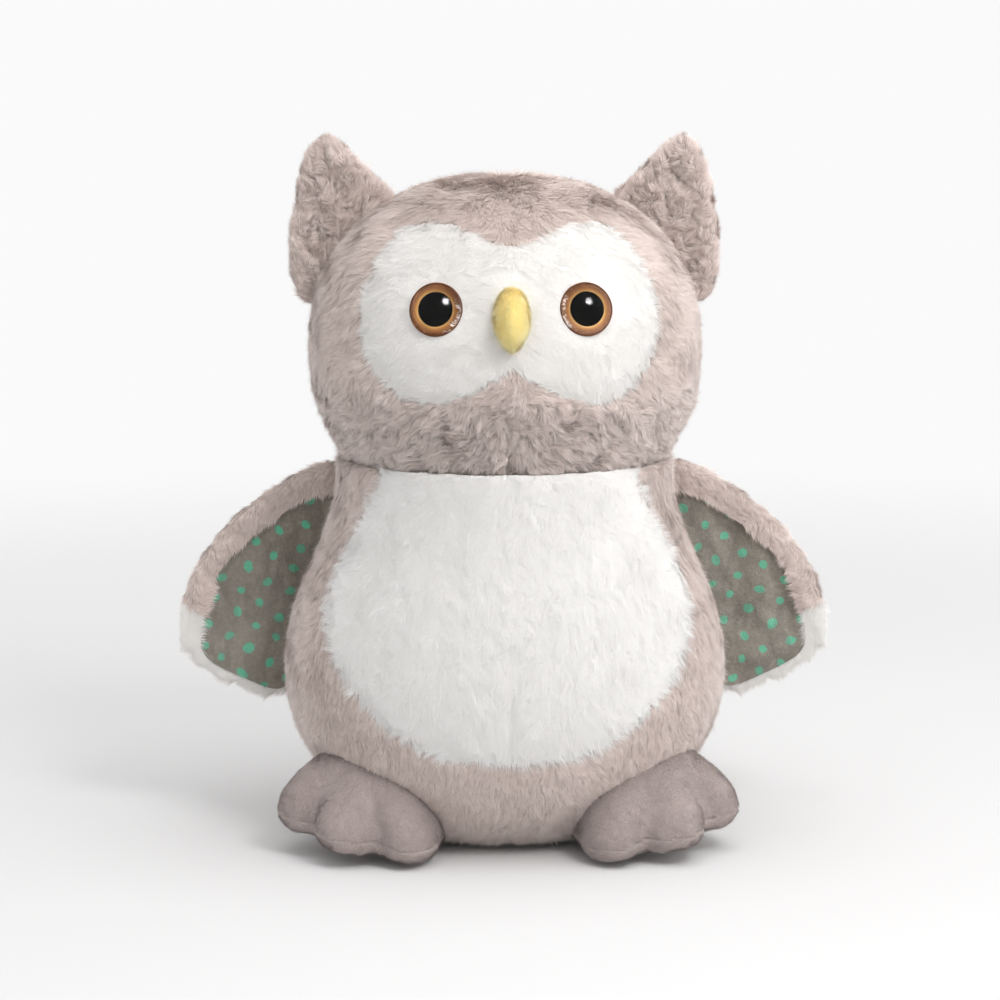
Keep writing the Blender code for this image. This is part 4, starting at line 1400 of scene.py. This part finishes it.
@dataclass
class Eye:
    """A safety eye: a clear dome over a pupil and a painted iris in a brown cup.

    Heights are measured outwards from the face of the iris node.
    """

    side: Side
    radius: float = 0.0108
    pupil_share: float = 0.60
    dome_height: float = 0.0058
    dome_base: float = 0.0007
    shank_end: float = -0.0165

    def frame(self) -> Matrix:
        """The eye's own axes, read off the flat iris node: Z points outwards."""
        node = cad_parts[f"eye_iris_{self.side.word}"]
        places = vertex_array(node.data)
        middle = (places.min(axis=0) + places.max(axis=0)) / 2
        _, _, ways = np.linalg.svd(places - middle)
        out = ways[2] if ways[2][1] < 0 else -ways[2]
        turn = Vector(out).to_track_quat("Z", "Y").to_matrix().to_4x4()
        return Matrix.Translation(Vector(middle)) @ turn

    def spun(self, name: str, profile: Sequence[tuple[float, float]]) -> Object:
        """Spin a profile of radius and height about the eye's axis.

        Args:
            name: The piece's name.
            profile: Points from the outer top down, in the eye's own axes.

        Returns:
            The piece, in its place, with how far out each point is and how much painted light it
            gets.
        """
        mesh = bpy.data.meshes.new(name)
        edges = [(step, step + 1) for step in range(len(profile) - 1)]
        mesh.from_pydata([(radius, 0, height) for radius, height in profile], edges, [])
        piece = new_object(name, mesh)

        def spin() -> None:
            bpy.ops.mesh.spin(
                steps=72, angle=math.tau, center=(0, 0, 0), axis=(0, 0, 1), use_auto_merge=True
            )
            bpy.ops.mesh.select_all(action="SELECT")
            bpy.ops.mesh.remove_doubles(threshold=0.00001)

        edit_all(piece, spin)
        x, y, _ = vertex_array(mesh).T
        add_values(mesh, "ring", np.hypot(x, y) / self.radius)
        mesh.transform(self.frame())
        away = vertex_array(mesh) - np.array(self.frame().translation)
        # Painted light: 1 on the iris's lower outer side, where the light reaches, down to 0 on its
        # upper inner side; stored as lower.
        lit = 0.5 + 0.5 * (0.75 * self.side.value * away[:, 0] - 0.65 * away[:, 2]) / self.radius
        add_values(mesh, "lower", np.clip(lit, 0, 1))
        bpy.ops.object.shade_smooth_by_angle(angle=math.radians(35))
        return piece

    def dome(self) -> list[tuple[float, float]]:
        """The clear dome: a shallow cap over a thin flat back."""
        rim, crown = self.radius * 0.95, self.dome_height
        ball = (rim**2 + crown**2) / (2 * crown)
        angles = [math.asin(rim / ball) * step / 20 for step in range(21)]
        foot = self.dome_base + crown - ball
        cap = [(ball * math.sin(angle), foot + ball * math.cos(angle)) for angle in angles]
        back = -0.0002
        return cap + [(self.radius * 0.945, back), (self.radius * 0.6, back), (0, back)]

    def build(self) -> None:
        """Make the four pieces of the eye."""
        hand = Dresser("head")
        wide = self.radius
        black = wide * self.pupil_share
        seat = wide * 0.945
        profiles = {
            ("dome", "lens", "clear_plastic", CLEAR): self.dome(),
            ("ring", "iris", "amber_paint", IRIS): [
                *((seat * step / 24, 0.0003) for step in range(25)), (seat, -0.0004), (0.0, -0.0004),
            ],
            ("dot", "pupil", "black_plastic", BLACK): [
                (0.0, 0.00058), (black * 0.97, 0.00058), (black, 0.0005), (black, 0.00032),
                (0.0, 0.00032),
            ],
            ("socket", "cup", "dark_plastic", BROWN): [
                (0, -0.0006), (wide * 0.955, -0.0006), (wide * 0.955, 0.0007),
                (wide * 0.97, 0.0009), (wide * 0.99, 0.0007), (wide, 0.0003), (wide, -0.0012),
                (wide * 0.97, -0.0017), (0.0025, -0.0017), (0.0025, self.shank_end),
                (0, self.shank_end),
            ],
        }
        word = self.side.word
        for (name, node, slot, finish), profile in profiles.items():
            piece = finish.dress(self.spun(f"eye_{name}_{word}", profile))
            hand.add(piece, slot, [f"eye_{node}_{word}"])


@dataclass
class Beak:
    """The soft yellow beak, an egg that narrows to a tip below."""

    half_width: float = 0.0072
    half_height: float = 0.0121
    reach: float = 0.0146
    centre_z: float = 0.2240
    narrowing: float = 0.40
    droop: float = 0.004
    face_y: float = -0.0745

    def egg(self, name: str, full: float, finish: Finish) -> Object:
        """The beak's form in a share of its full size."""
        form = add_ball(name, 48, 32)
        x, y, z = vertex_array(form.data).T
        slim = 1 - self.narrowing * np.maximum(0, -z) ** 2
        height = self.half_height * z - self.droop * np.maximum(0, -y)
        places = joined(self.half_width * slim * x, self.reach * slim * y, height)
        set_places(form, full * places + [0, self.face_y, self.centre_z])
        return smooth_shaded(finish.dress(form))

    def build(self) -> None:
        """Make the beak's skin, its short pile and its filling."""
        form = self.egg("beak_skin", 1.0, BEAK_BACKING)
        comb = Comb(lambda p: np.broadcast_to([0, -0.3, -1], p.shape), swirl=1.0, cell=0.004)
        pile = Pile(
            BEAK_FIBRE, length=0.0017, width=0.00016, per_square_mm=14.0, relief=0.00012,
            relief_cell=0.0025, crinkle=0.0, lock=0.0009, gather=0.0003, lean=1.1, stray=0.2,
            loose=0.15, mottle=0.2,
        ).grow(form, "beak_pile", comb, keep=lambda p: p[:, 1] < self.face_y + 0.005)
        hand = Dresser("head")
        hand.add(form, "yellow_velour", ["beak_cover"], 0.9)
        hand.add(pile, "yellow_velour")
        hand.add(self.egg("beak_filling", 0.84, FIBRE), "fibre", ["beak_stuffing"], 0.9)


def make_pad(
    name: str, loop: Array, rings: int, place: Callable[[Array, Array, Array, Array], Array]
) -> Object:
    """Make a flat stuffed form whose rim follows an outline.

    Args:
        name: The form's name.
        loop: The outline.
        rings: How many rings of faces it has.
        place: Gives places from the two outline axes, the share of the way out to
            the rim, and which way the point faces, from 1 in front to -1 behind.

    Returns:
        The closed form.
    """
    count = len(loop)
    form = add_ball(name, count, rings)
    polar, azimuth = ball_angles(form)
    step = np.round(azimuth / math.tau * count).astype(int) % count
    share = np.sin(polar)
    middle = loop.mean(axis=0)
    flat = middle + (loop[step] - middle) * share[:, None]
    set_places(form, place(flat[:, 0], flat[:, 1], share, -np.cos(polar)))
    edit_all(form, lambda: None)
    return form


@dataclass
class Ear:
    """An upright ear with a hollow front and a thick rolled edge."""

    side: Side
    head: Head
    inner_x: float = 0.043
    width: float = 0.049
    base_z: float = 0.2195
    height: float = 0.0750
    middle_y: float = 0.002
    half_thickness: float = 0.0105
    hollow: float = 0.0080
    inset: float = 0.0022
    skin_depth: float = 0.006
    pile_depth: float = 0.003
    outline: Shares = (
        (0.0, 0.62), (0.18, 0.77), (0.38, 0.91), (0.54, 0.985), (0.67, 1.0), (0.81, 0.92),
        (0.90, 0.79), (0.97, 0.55), (1.0, 0.34), (0.96, 0.13), (0.80, 0.0), (0.46, 0.02),
        (0.12, 0.30),
    )
    cloth: Cloth = Cloth(
        GREY_BACKING,
        Pile(
            GREY_FIBRE, length=0.0028, lean=1.10, stray=0.10, loose=0.04, relief=0.0008,
            relief_cell=0.0036, curl=1.3, gather=0.0012, mottle=0.34,
        ),
        "grey_plush", 0.6, 0.0006,
    )

    def __post_init__(self) -> None:
        """Work out the rim's outline."""
        sign = self.side.value
        self.rim = smooth_loop(
            [(sign * (self.inner_x + self.width * u), self.base_z + self.height * v)
             for u, v in self.outline], 96,
        )

    def seam_distance(self, places: Array) -> Array:
        """How far each place is from the seam along the rim."""
        off_middle = np.abs(places[:, 1] - self.middle_y)
        return loop_distance(places[:, [0, 2]], self.rim) + 0.5 * off_middle

    def lay(self, places: Array) -> Array:
        """The ear's pile lies upwards and out to the rim, loosely."""
        middle = [self.side.value * (self.inner_x + 0.55 * self.width), 0, self.base_z]
        return (places - middle) * [20, 0, 20] + [0, 0, 0.6]

    def curly(self, places: Array) -> Array:
        """How rough the pile is: curly in the hollow and smooth along the rim."""
        front = 0.6 + 0.4 * (places[:, 1] < self.middle_y)
        return 0.35 + 1.25 * front * step_up(0.002, 0.011, self.seam_distance(places))

    def hollow_shade(self, places: Array) -> Array:
        """How much painted shade darkens the pile: most in the hollow, with painted light making the
        rim paler than the rest.
        """
        front = places[:, 1] < self.middle_y
        return front * (0.34 * step_up(0.003, 0.012, self.seam_distance(places)) - 0.08)

    def off_head(self, places: Array, depth: float) -> Array:
        """Which places are no deeper than a depth inside the head."""
        away = places - [0, 0, self.head.centre_z]
        tall = np.where(away[:, 2] > 0, self.head.crown, self.head.radius)
        power = self.head.crown_power
        wide = np.hypot(away[:, 0], away[:, 1]) / self.head.radius
        share = (wide**power + np.abs(away[:, 2] / tall) ** power) ** (1 / power)
        return (1 - share) * self.head.radius < depth

    def build(self) -> None:
        """Make the ear's two skins and piles, and its filling."""
        word = self.side.word

        def place(x: Array, z: Array, share: Array, facing: Array) -> Array:
            hollow = np.where(facing > 0, self.hollow * (1 - share**3), 0)
            return joined(x, self.middle_y + hollow - self.half_thickness * facing, z)

        form = make_pad(f"ear_shape_{word}", self.rim, 28, place)
        shrink(form, self.inset)
        Stuffing(voxel=0.0026, cap=0.0012, seam_depth=0.0).fill(form, self.seam_distance)
        middles = face_middles(form)
        shown = self.off_head(middles, self.skin_depth)
        hand = Dresser(f"ear_{word}")
        for region, front in (("front", True), ("back", False)):
            hand.cover(
                form, f"ear_{region}_{word}", shown & ((middles[:, 1] < self.middle_y) == front),
                self.cloth, Comb(self.lay, swirl=1.1, cell=0.010, seed=6),
                keep=lambda p: self.off_head(p, self.pile_depth), rough=self.curly,
                shade=self.hollow_shade,
            )
        hand.stuff(form, f"ear_filling_{word}", f"ear_stuffing_{word}", 0.6)


@dataclass
class Wing:
    """A padded wing: plush round the rim and behind, a dotted lining set into its front."""

    side: Side
    body: Body
    shoulder_x: float = 0.0640
    shoulder_z: float = 0.1600
    reach: float = 0.0762
    drop: float = 0.110
    half_thickness: float = 0.0072
    root_y: float = 0.022
    lean: float = 0.014
    cup: float = 0.006
    inset: float = 0.0024
    skin_depth: float = 0.006
    pile_depth: float = 0.002
    lining_lift: float = 0.0022
    pucker: float = 0.0014
    opening: float = 0.985
    outline: Shares = (
        (-0.03, 0.12), (0.06, 0.025), (0.22, 0.045), (0.385, 0.10), (0.56, 0.180),
        (0.72, 0.275), (0.85, 0.385), (0.945, 0.51), (1.0, 0.66), (0.965, 0.80), (0.82, 0.895),
        (0.62, 0.965), (0.42, 1.0), (0.30, 0.92), (0.20, 0.70), (0.10, 0.48), (0.0, 0.27),
    )
    lining: Shares = (
        (0.02, 0.20), (0.23, 0.185), (0.40, 0.255), (0.60, 0.36), (0.74, 0.46), (0.80, 0.58),
        (0.855, 0.71), (0.82, 0.81), (0.62, 0.895), (0.42, 0.945), (0.31, 0.87), (0.22, 0.68),
        (0.12, 0.48),
    )
    tip_line: tuple[tuple[float, float], tuple[float, float]] = ((1.0, 0.56), (0.30, 0.90))
    grey: Cloth = Cloth(
        GREY_BACKING, Pile(GREY_FIBRE, length=0.0030, loose=0.02, stray=0.06),
        "grey_plush", 0.6, 0.0006,
    )
    white: Cloth = Cloth(WHITE_BACKING, white_pile(), "white_plush", 0.6, 0.0006)

    def flat(self, shares: Shares, count: int) -> Array:
        """A smooth loop in metres out and down from the shoulder."""
        return smooth_loop([(self.reach * u, self.drop * v) for u, v in shares], count)

    def shares(self, places: Array) -> tuple[Array, Array]:
        """How far out and down each place is, as shares of the wing's reach and drop."""
        out = (places[:, 0] * self.side.value - self.shoulder_x) / self.reach
        return out, (self.shoulder_z - places[:, 2]) / self.drop

    def flat_places(self, places: Array) -> Array:
        """Each place in metres out and down from the shoulder."""
        out, down = self.shares(places)
        return joined(out * self.reach, down * self.drop)

    def middle_y(self, out: Array, down: Array) -> Array:
        """How far back the wing's middle sheet is."""
        bulge = self.cup * (1 - (2 * out - 1) ** 2) * (1 - (2 * down - 1) ** 2)
        return self.root_y - self.lean * out + bulge

    def behind_middle(self, places: Array) -> Array:
        """How far each place is behind the wing's middle sheet."""
        return places[:, 1] - self.middle_y(*self.shares(places))

    def in_lining(self, places: Array, fray: float = 0.0) -> Array:
        """Which places are on the lining, its edge frayed by some metres."""
        flat = self.flat_places(places)
        if fray:
            flat = flat + fray * soft_noise(places, 0.004, 25)[:, None]
        opening = scaled_loop(self.flat(self.lining, 120), self.opening)
        return inside_loop(flat, opening) & (self.behind_middle(places) < 0)

    def in_tip(self, places: Array) -> Array:
        """Which places are below the line where the white begins."""
        out, down = self.shares(places)
        (outer_u, outer_v), (inner_u, inner_v) = self.tip_line
        return down > outer_v + (inner_v - outer_v) / (inner_u - outer_u) * (out - outer_u)

    def seam_distance(self, places: Array) -> Array:
        """How far each place is from the rim's seam or the lining's edge."""
        flat = self.flat_places(places)
        behind = self.behind_middle(places)
        rim = loop_distance(flat, self.flat(self.outline, 160)) + np.abs(behind)
        edge = loop_distance(flat, self.flat(self.lining, 160)) + np.where(behind < 0, 0, 1.0)
        return np.minimum(rim, edge)

    def off_body(self, places: Array, depth: float) -> Array:
        """Which places are no deeper than a depth inside the body."""
        return self.body.depth_inside(places) < depth

    def on_rim(self, places: Array) -> Array:
        """Which roots lie clear of the lining and of the body."""
        return ~self.in_lining(places, FRAY / 2) & self.off_body(places, self.pile_depth)

    def lay(self, places: Array) -> Array:
        """The wing's pile lies out to the tip and down."""
        sign = self.side.value
        out, down = self.shares(places)
        away = unit(joined(sign * (out - 0.52) * self.reach, 0, (0.55 - down) * self.drop))
        front = step_up(-0.001, 0.003, -self.behind_middle(places))[:, None]
        return away * (0.5 - 1.2 * front) + np.array([0.6 * sign, 0, -0.8]) * (1 - 0.6 * front)

    def pad(
        self, name: str, loop: Array, rings: int, behind: Callable[[Array], Array]
    ) -> Object:
        """Make a pad that follows the wing's middle sheet.

        Args:
            name: The pad's name.
            loop: Its outline, out and down from the shoulder.
            rings: How many rings of faces it has.
            behind: Gives how far behind the middle sheet a point is, from the way it faces.

        Returns:
            The closed form.
        """

        def place(out: Array, down: Array, share: Array, facing: Array) -> Array:
            y = self.middle_y(out / self.reach, down / self.drop) + behind(facing)
            return joined(self.side.value * (self.shoulder_x + out), y, self.shoulder_z - down)

        return make_pad(name, loop, rings, place)

    def build(self) -> None:
        """Make the wing's skins, piles, lining and padding."""
        word = self.side.word
        form = self.pad(
            f"wing_shape_{word}", self.flat(self.outline, 120), 28,
            lambda facing: -self.half_thickness * np.sign(facing) * np.abs(facing) ** 0.7,
        )
        shrink(form, self.inset)
        Stuffing(voxel=0.0022, cap=0.0012, seam_depth=0.0004).fill(form, self.seam_distance)
        middles = face_middles(form)
        rim = self.off_body(middles, self.skin_depth) & ~self.in_lining(middles)
        tip = self.in_tip(middles)
        hand = Dresser(f"wing_{word}")
        for region, wanted, cloth in (("outer", ~tip, self.grey), ("tip", tip, self.white)):
            hand.cover(
                form, f"wing_{region}_{word}", rim & wanted, cloth,
                Comb(self.lay, swirl=0.8, cell=0.011, seed=8), keep=self.on_rim,
            )
        hand.add(self.make_lining(), "dotted_lining", [f"wing_lining_{word}"], 0.5)
        remove_object(form)
        batting = self.pad(
            f"wing_padding_{word}", scaled_loop(self.flat(self.outline, 80), 0.88), 16,
            lambda facing: 0.0020 - 0.0016 * facing,
        )
        hand.add(smooth_shaded(FIBRE.dress(batting)), "fibre", [f"wing_batting_{word}"], 0.5)

    def make_lining(self) -> Object:
        """Lay the puckered lining deep between the plush edges, which lap over it."""
        form = self.pad(
            f"wing_lining_{self.side.word}_cloth", scaled_loop(self.flat(self.lining, 120), 0.99),
            40, lambda facing: -self.lining_lift - 0.0004 * facing,
        )
        split_faces(form)
        places = vertex_array(form.data)
        edge = loop_distance(self.flat_places(places), self.flat(self.lining, 160))
        wide = soft_noise(places * [1.0, 0.0, 0.6], 0.011, 41)
        folds = 1.4 * wide + 0.5 * soft_noise(places * [1.0, 0.0, 0.8], 0.0045, 42)
        places[:, 1] += (0.2 + 0.8 * step_up(0.0, 0.008, edge)) * self.pucker * folds
        set_places(form, places)
        return smooth_shaded(LINING.dress(form))


@dataclass
class Foot:
    """A velour foot with three stuffed toes and a seam round its rim."""

    side: Side
    body: Body
    heel_x: float = 0.042
    heel_y: float = -0.012
    splay: float = math.radians(27)
    half_width: float = 0.0365
    length: float = 0.070
    heel_height: float = 0.053
    toe_height: float = 0.023
    rim_height: float = 0.0075
    outer_rise: float = 0.011
    inset: float = 0.0012
    skin_depth: float = 0.022
    pile_depth: float = 0.010
    outline: Shares = (
        (-0.45, -0.10), (0.0, -0.16), (0.45, -0.10), (0.84, 0.16), (0.95, 0.40), (1.0, 0.62),
        (0.90, 0.79), (0.64, 0.84), (0.43, 0.80), (0.27, 0.93), (0.0, 1.0), (-0.27, 0.93),
        (-0.43, 0.81), (-0.64, 0.87), (-0.90, 0.82), (-1.0, 0.64), (-0.88, 0.40),
        (-0.76, 0.16),
    )
    cloth: Cloth = Cloth(
        VELOUR_BACKING,
        Pile(
            VELOUR_FIBRE, length=0.0016, width=0.00022, per_square_mm=9.0, relief=0.00002,
            lock=0.0008, curl=0.5, gather=0.0001, mottle=0.12, lean=1.2, facing=0.15,
        ),
        "grey_velour", 0.8, 0.0005,
    )

    def __post_init__(self) -> None:
        """Work out the heel's place, the ways forward and outward, and the rim's outline."""
        sign = self.side.value
        self.heel = np.array([sign * self.heel_x, self.heel_y, 0])
        self.forward = np.array([sign * math.sin(self.splay), -math.cos(self.splay), 0])
        self.outward = np.array([sign * math.cos(self.splay), math.sin(self.splay), 0])
        points = [(self.half_width * u, self.length * v) for u, v in self.outline]
        self.rim = smooth_loop(points, 120)

    def rise(self, across: Array) -> Array:
        """How much higher the foot is towards its outer toe."""
        return self.outer_rise * (across / self.half_width + 1) / 2

    def above_rim(self, places: Array) -> Array:
        """How far each place is above the rim's seam."""
        across = (places - self.heel) @ self.outward
        return places[:, 2] - self.rim_height - self.rise(across)

    def seam_distance(self, places: Array) -> Array:
        """How far each place is from the rim's seam."""
        away = places - self.heel
        flat = joined(away @ self.outward, away @ self.forward)
        return loop_distance(flat, self.rim) + 0.5 * np.abs(self.above_rim(places))

    def lay(self, places: Array) -> Array:
        """The nap lies forward and down."""
        return np.broadcast_to(self.forward * 0.8 + [0, 0, -0.6], places.shape)

    def seam(self, places: Array) -> Array:
        """How far the nap sinks into the rim's seam, which also sets the painted shade along that
        seam.
        """
        return 0.0007 * bell(self.above_rim(places), 0.0009)

    def build(self) -> None:
        """Make the foot's upper and sole with their nap, and its filling."""
        word = self.side.word

        def place(u: Array, v: Array, share: Array, facing: Array) -> Array:
            ahead = np.clip(v / self.length, 0, 1)
            top = self.heel_height + (self.toe_height - self.heel_height) * ahead
            high = self.rim_height + (top - self.rim_height) * facing
            low = np.maximum(0, self.rim_height + facing * 2 * self.rim_height)
            height = np.where(facing < 0, low, high) + self.rise(u)
            places = self.heel + u[:, None] * self.outward + v[:, None] * self.forward
            return places + height[:, None] * [0, 0, 1]

        form = make_pad(f"foot_shape_{word}", self.rim, 32, place)
        shrink(form, self.inset)
        Stuffing(voxel=0.0028, cap=0.0008, seam_width=0.0012, seam_depth=0.0006).fill(
            form, self.seam_distance
        )
        middles = face_middles(form)
        shown = self.body.depth_inside(middles) < self.skin_depth
        upper = self.above_rim(middles) > 0
        hand = Dresser(f"foot_{word}")
        for region, wanted in (("upper", upper), ("sole", ~upper)):
            hand.cover(
                form, f"foot_{region}_{word}", shown & wanted, self.cloth,
                Comb(self.lay, swirl=1.3, cell=0.006, seed=11), tame=above_ground,
                crease=self.seam, keep=lambda p: self.body.depth_inside(p) < self.pile_depth,
            )
        hand.stuff(form, f"foot_filling_{word}", f"foot_stuffing_{word}", 0.8)


def finish_insides() -> None:
    """Give the hidden filling and fittings, which keep their nodes, their finishes."""
    finishes = {"stuffing": FIBRE, "batting": FIBRE, "pellet_bag": BAG, "washer": WASHER}
    for name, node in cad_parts.items():
        for word, finish in finishes.items():
            if word in name:
                finish.dress(node)
                log.info("%s keeps its node", name)


# The photograph's room


@dataclass
class Lamp:
    """A round lamp that is aimed at the owl's middle."""

    name: str
    place: tuple[float, float, float]
    size: float
    power: float
    glint: bool = False
    through_domes: bool = True
    tone: Colour = (1.0, 0.985, 0.985)

    def build(self) -> None:
        """Hang the lamp; only the glint shows in reflections, and it lights nothing else."""
        lamp = bpy.data.lights.new(self.name, "AREA")
        lamp.shape = "DISK"
        lamp.size = self.size
        lamp.energy = self.power
        lamp.color = self.tone
        holder = new_object(self.name, lamp)
        holder.location = self.place
        holder.visible_glossy = self.glint
        holder.visible_diffuse = not self.glint
        holder.visible_transmission = self.through_domes
        aim = Vector((0, 0, 0.14)) - Vector(self.place)
        holder.rotation_euler = aim.to_track_quat("-Z", "Y").to_euler()


@dataclass
class Studio:
    """A pale floor, soft light from the upper right and the photograph's view."""

    target: tuple[float, float, float] = (-0.002, 0.0, 0.140)
    distance: float = 1.4
    elevation: float = math.radians(9)
    azimuth: float = math.radians(-2)
    focal: float = 120.0
    lamps: tuple[Lamp, ...] = (
        Lamp("side_softbox", (1.25, -0.55, 0.80), 1.7, 6.6),
        Lamp("top_softbox", (0.10, -0.20, 1.75), 1.5, 9.5),
        Lamp("front_lamp", (0.49, -0.83, 1.03), 0.42, 5.6, through_domes=False),
        Lamp("glint_lamp", (0.49, -0.83, 1.03), 0.50, 120.0, glint=True, through_domes=False),
    )
    ambient: float = 1.0
    floor_tone: float = 0.70
    floor_bounce: float = 0.62

    def build(self) -> None:
        """Set up camera, lamps, world and floor."""
        bpy.context.scene.view_settings.view_transform = "Standard"
        self.add_camera()
        for lamp in self.lamps:
            lamp.build()
        self.add_world()
        self.add_floor()

    def add_camera(self) -> None:
        """Put the camera where the photograph was taken from."""
        camera = bpy.data.cameras.new("camera")
        camera.lens = self.focal
        camera.sensor_width = 36.0
        camera.clip_end = 100.0
        holder = new_object("camera", camera)
        level = math.cos(self.elevation)
        x, y = level * math.sin(self.azimuth), -level * math.cos(self.azimuth)
        back = Vector((x, y, math.sin(self.elevation)))
        holder.location = Vector(self.target) + back * self.distance
        holder.rotation_euler = (-back).to_track_quat("-Z", "Y").to_euler()
        bpy.context.scene.camera = holder

    def add_world(self) -> None:
        """Light the room evenly, and show white behind everything."""
        world = bpy.data.worlds.new("room")
        bpy.context.scene.world = world
        world.use_nodes = True
        nodes = Nodes(world.node_tree)
        nodes.tree.nodes.clear()
        room = nodes.add("ShaderNodeBackground", {"Strength": self.ambient})
        shown = nodes.add("ShaderNodeBackground", {"Color": WHITE})
        mix = nodes.add("ShaderNodeMixShader", {0: nodes.seen(), 1: room, 2: shown})
        output = nodes.tree.nodes.new("ShaderNodeOutputWorld")
        nodes.put(output.inputs["Surface"], mix)

    def add_floor(self) -> None:
        """Lay a floor that fades into the white of the room."""
        make_active(None)
        bpy.ops.mesh.primitive_circle_add(
            vertices=64, radius=30.0, fill_type="NGON", location=(0, 0, 0)
        )
        floor = bpy.context.active_object
        floor.name = "floor"
        paint = Paint("pale_floor")
        seen = paint.seen()
        far = paint.add("ShaderNodeVectorMath", {0: paint.place()}, "Value", operation="LENGTH")
        tone = paint.blend(seen, (self.floor_bounce,) * 3, (self.floor_tone,) * 3)
        paint.finish(base_color=tone, roughness=1.0, specular_ior_level=0.0)
        glow = paint.add("ShaderNodeEmission", {"Color": WHITE})
        lit = Socket(paint, paint.shader.outputs[0])
        fade = far.between(0.35, 1.1) * seen
        mix = paint.add("ShaderNodeMixShader", {0: fade, 1: lit, 2: glow})
        paint.put(paint.tree.nodes["Material Output"].inputs["Surface"], mix)
        floor.data.materials.append(paint.material)


def main() -> None:
    """Build the studio and every part of the owl, and note the sizes."""
    logging.basicConfig(level=logging.INFO, format="%(message)s", stream=sys.stdout)
    Studio().build()
    body = Body()
    head = Head()
    body.build()
    head.build()
    Beak().build()
    for side in Side:
        Eye(side).build()
        Ear(side, head).build()
        Wing(side, body).build()
        Foot(side, body).build()
    finish_insides()


if __name__ == "__main__":
    main()
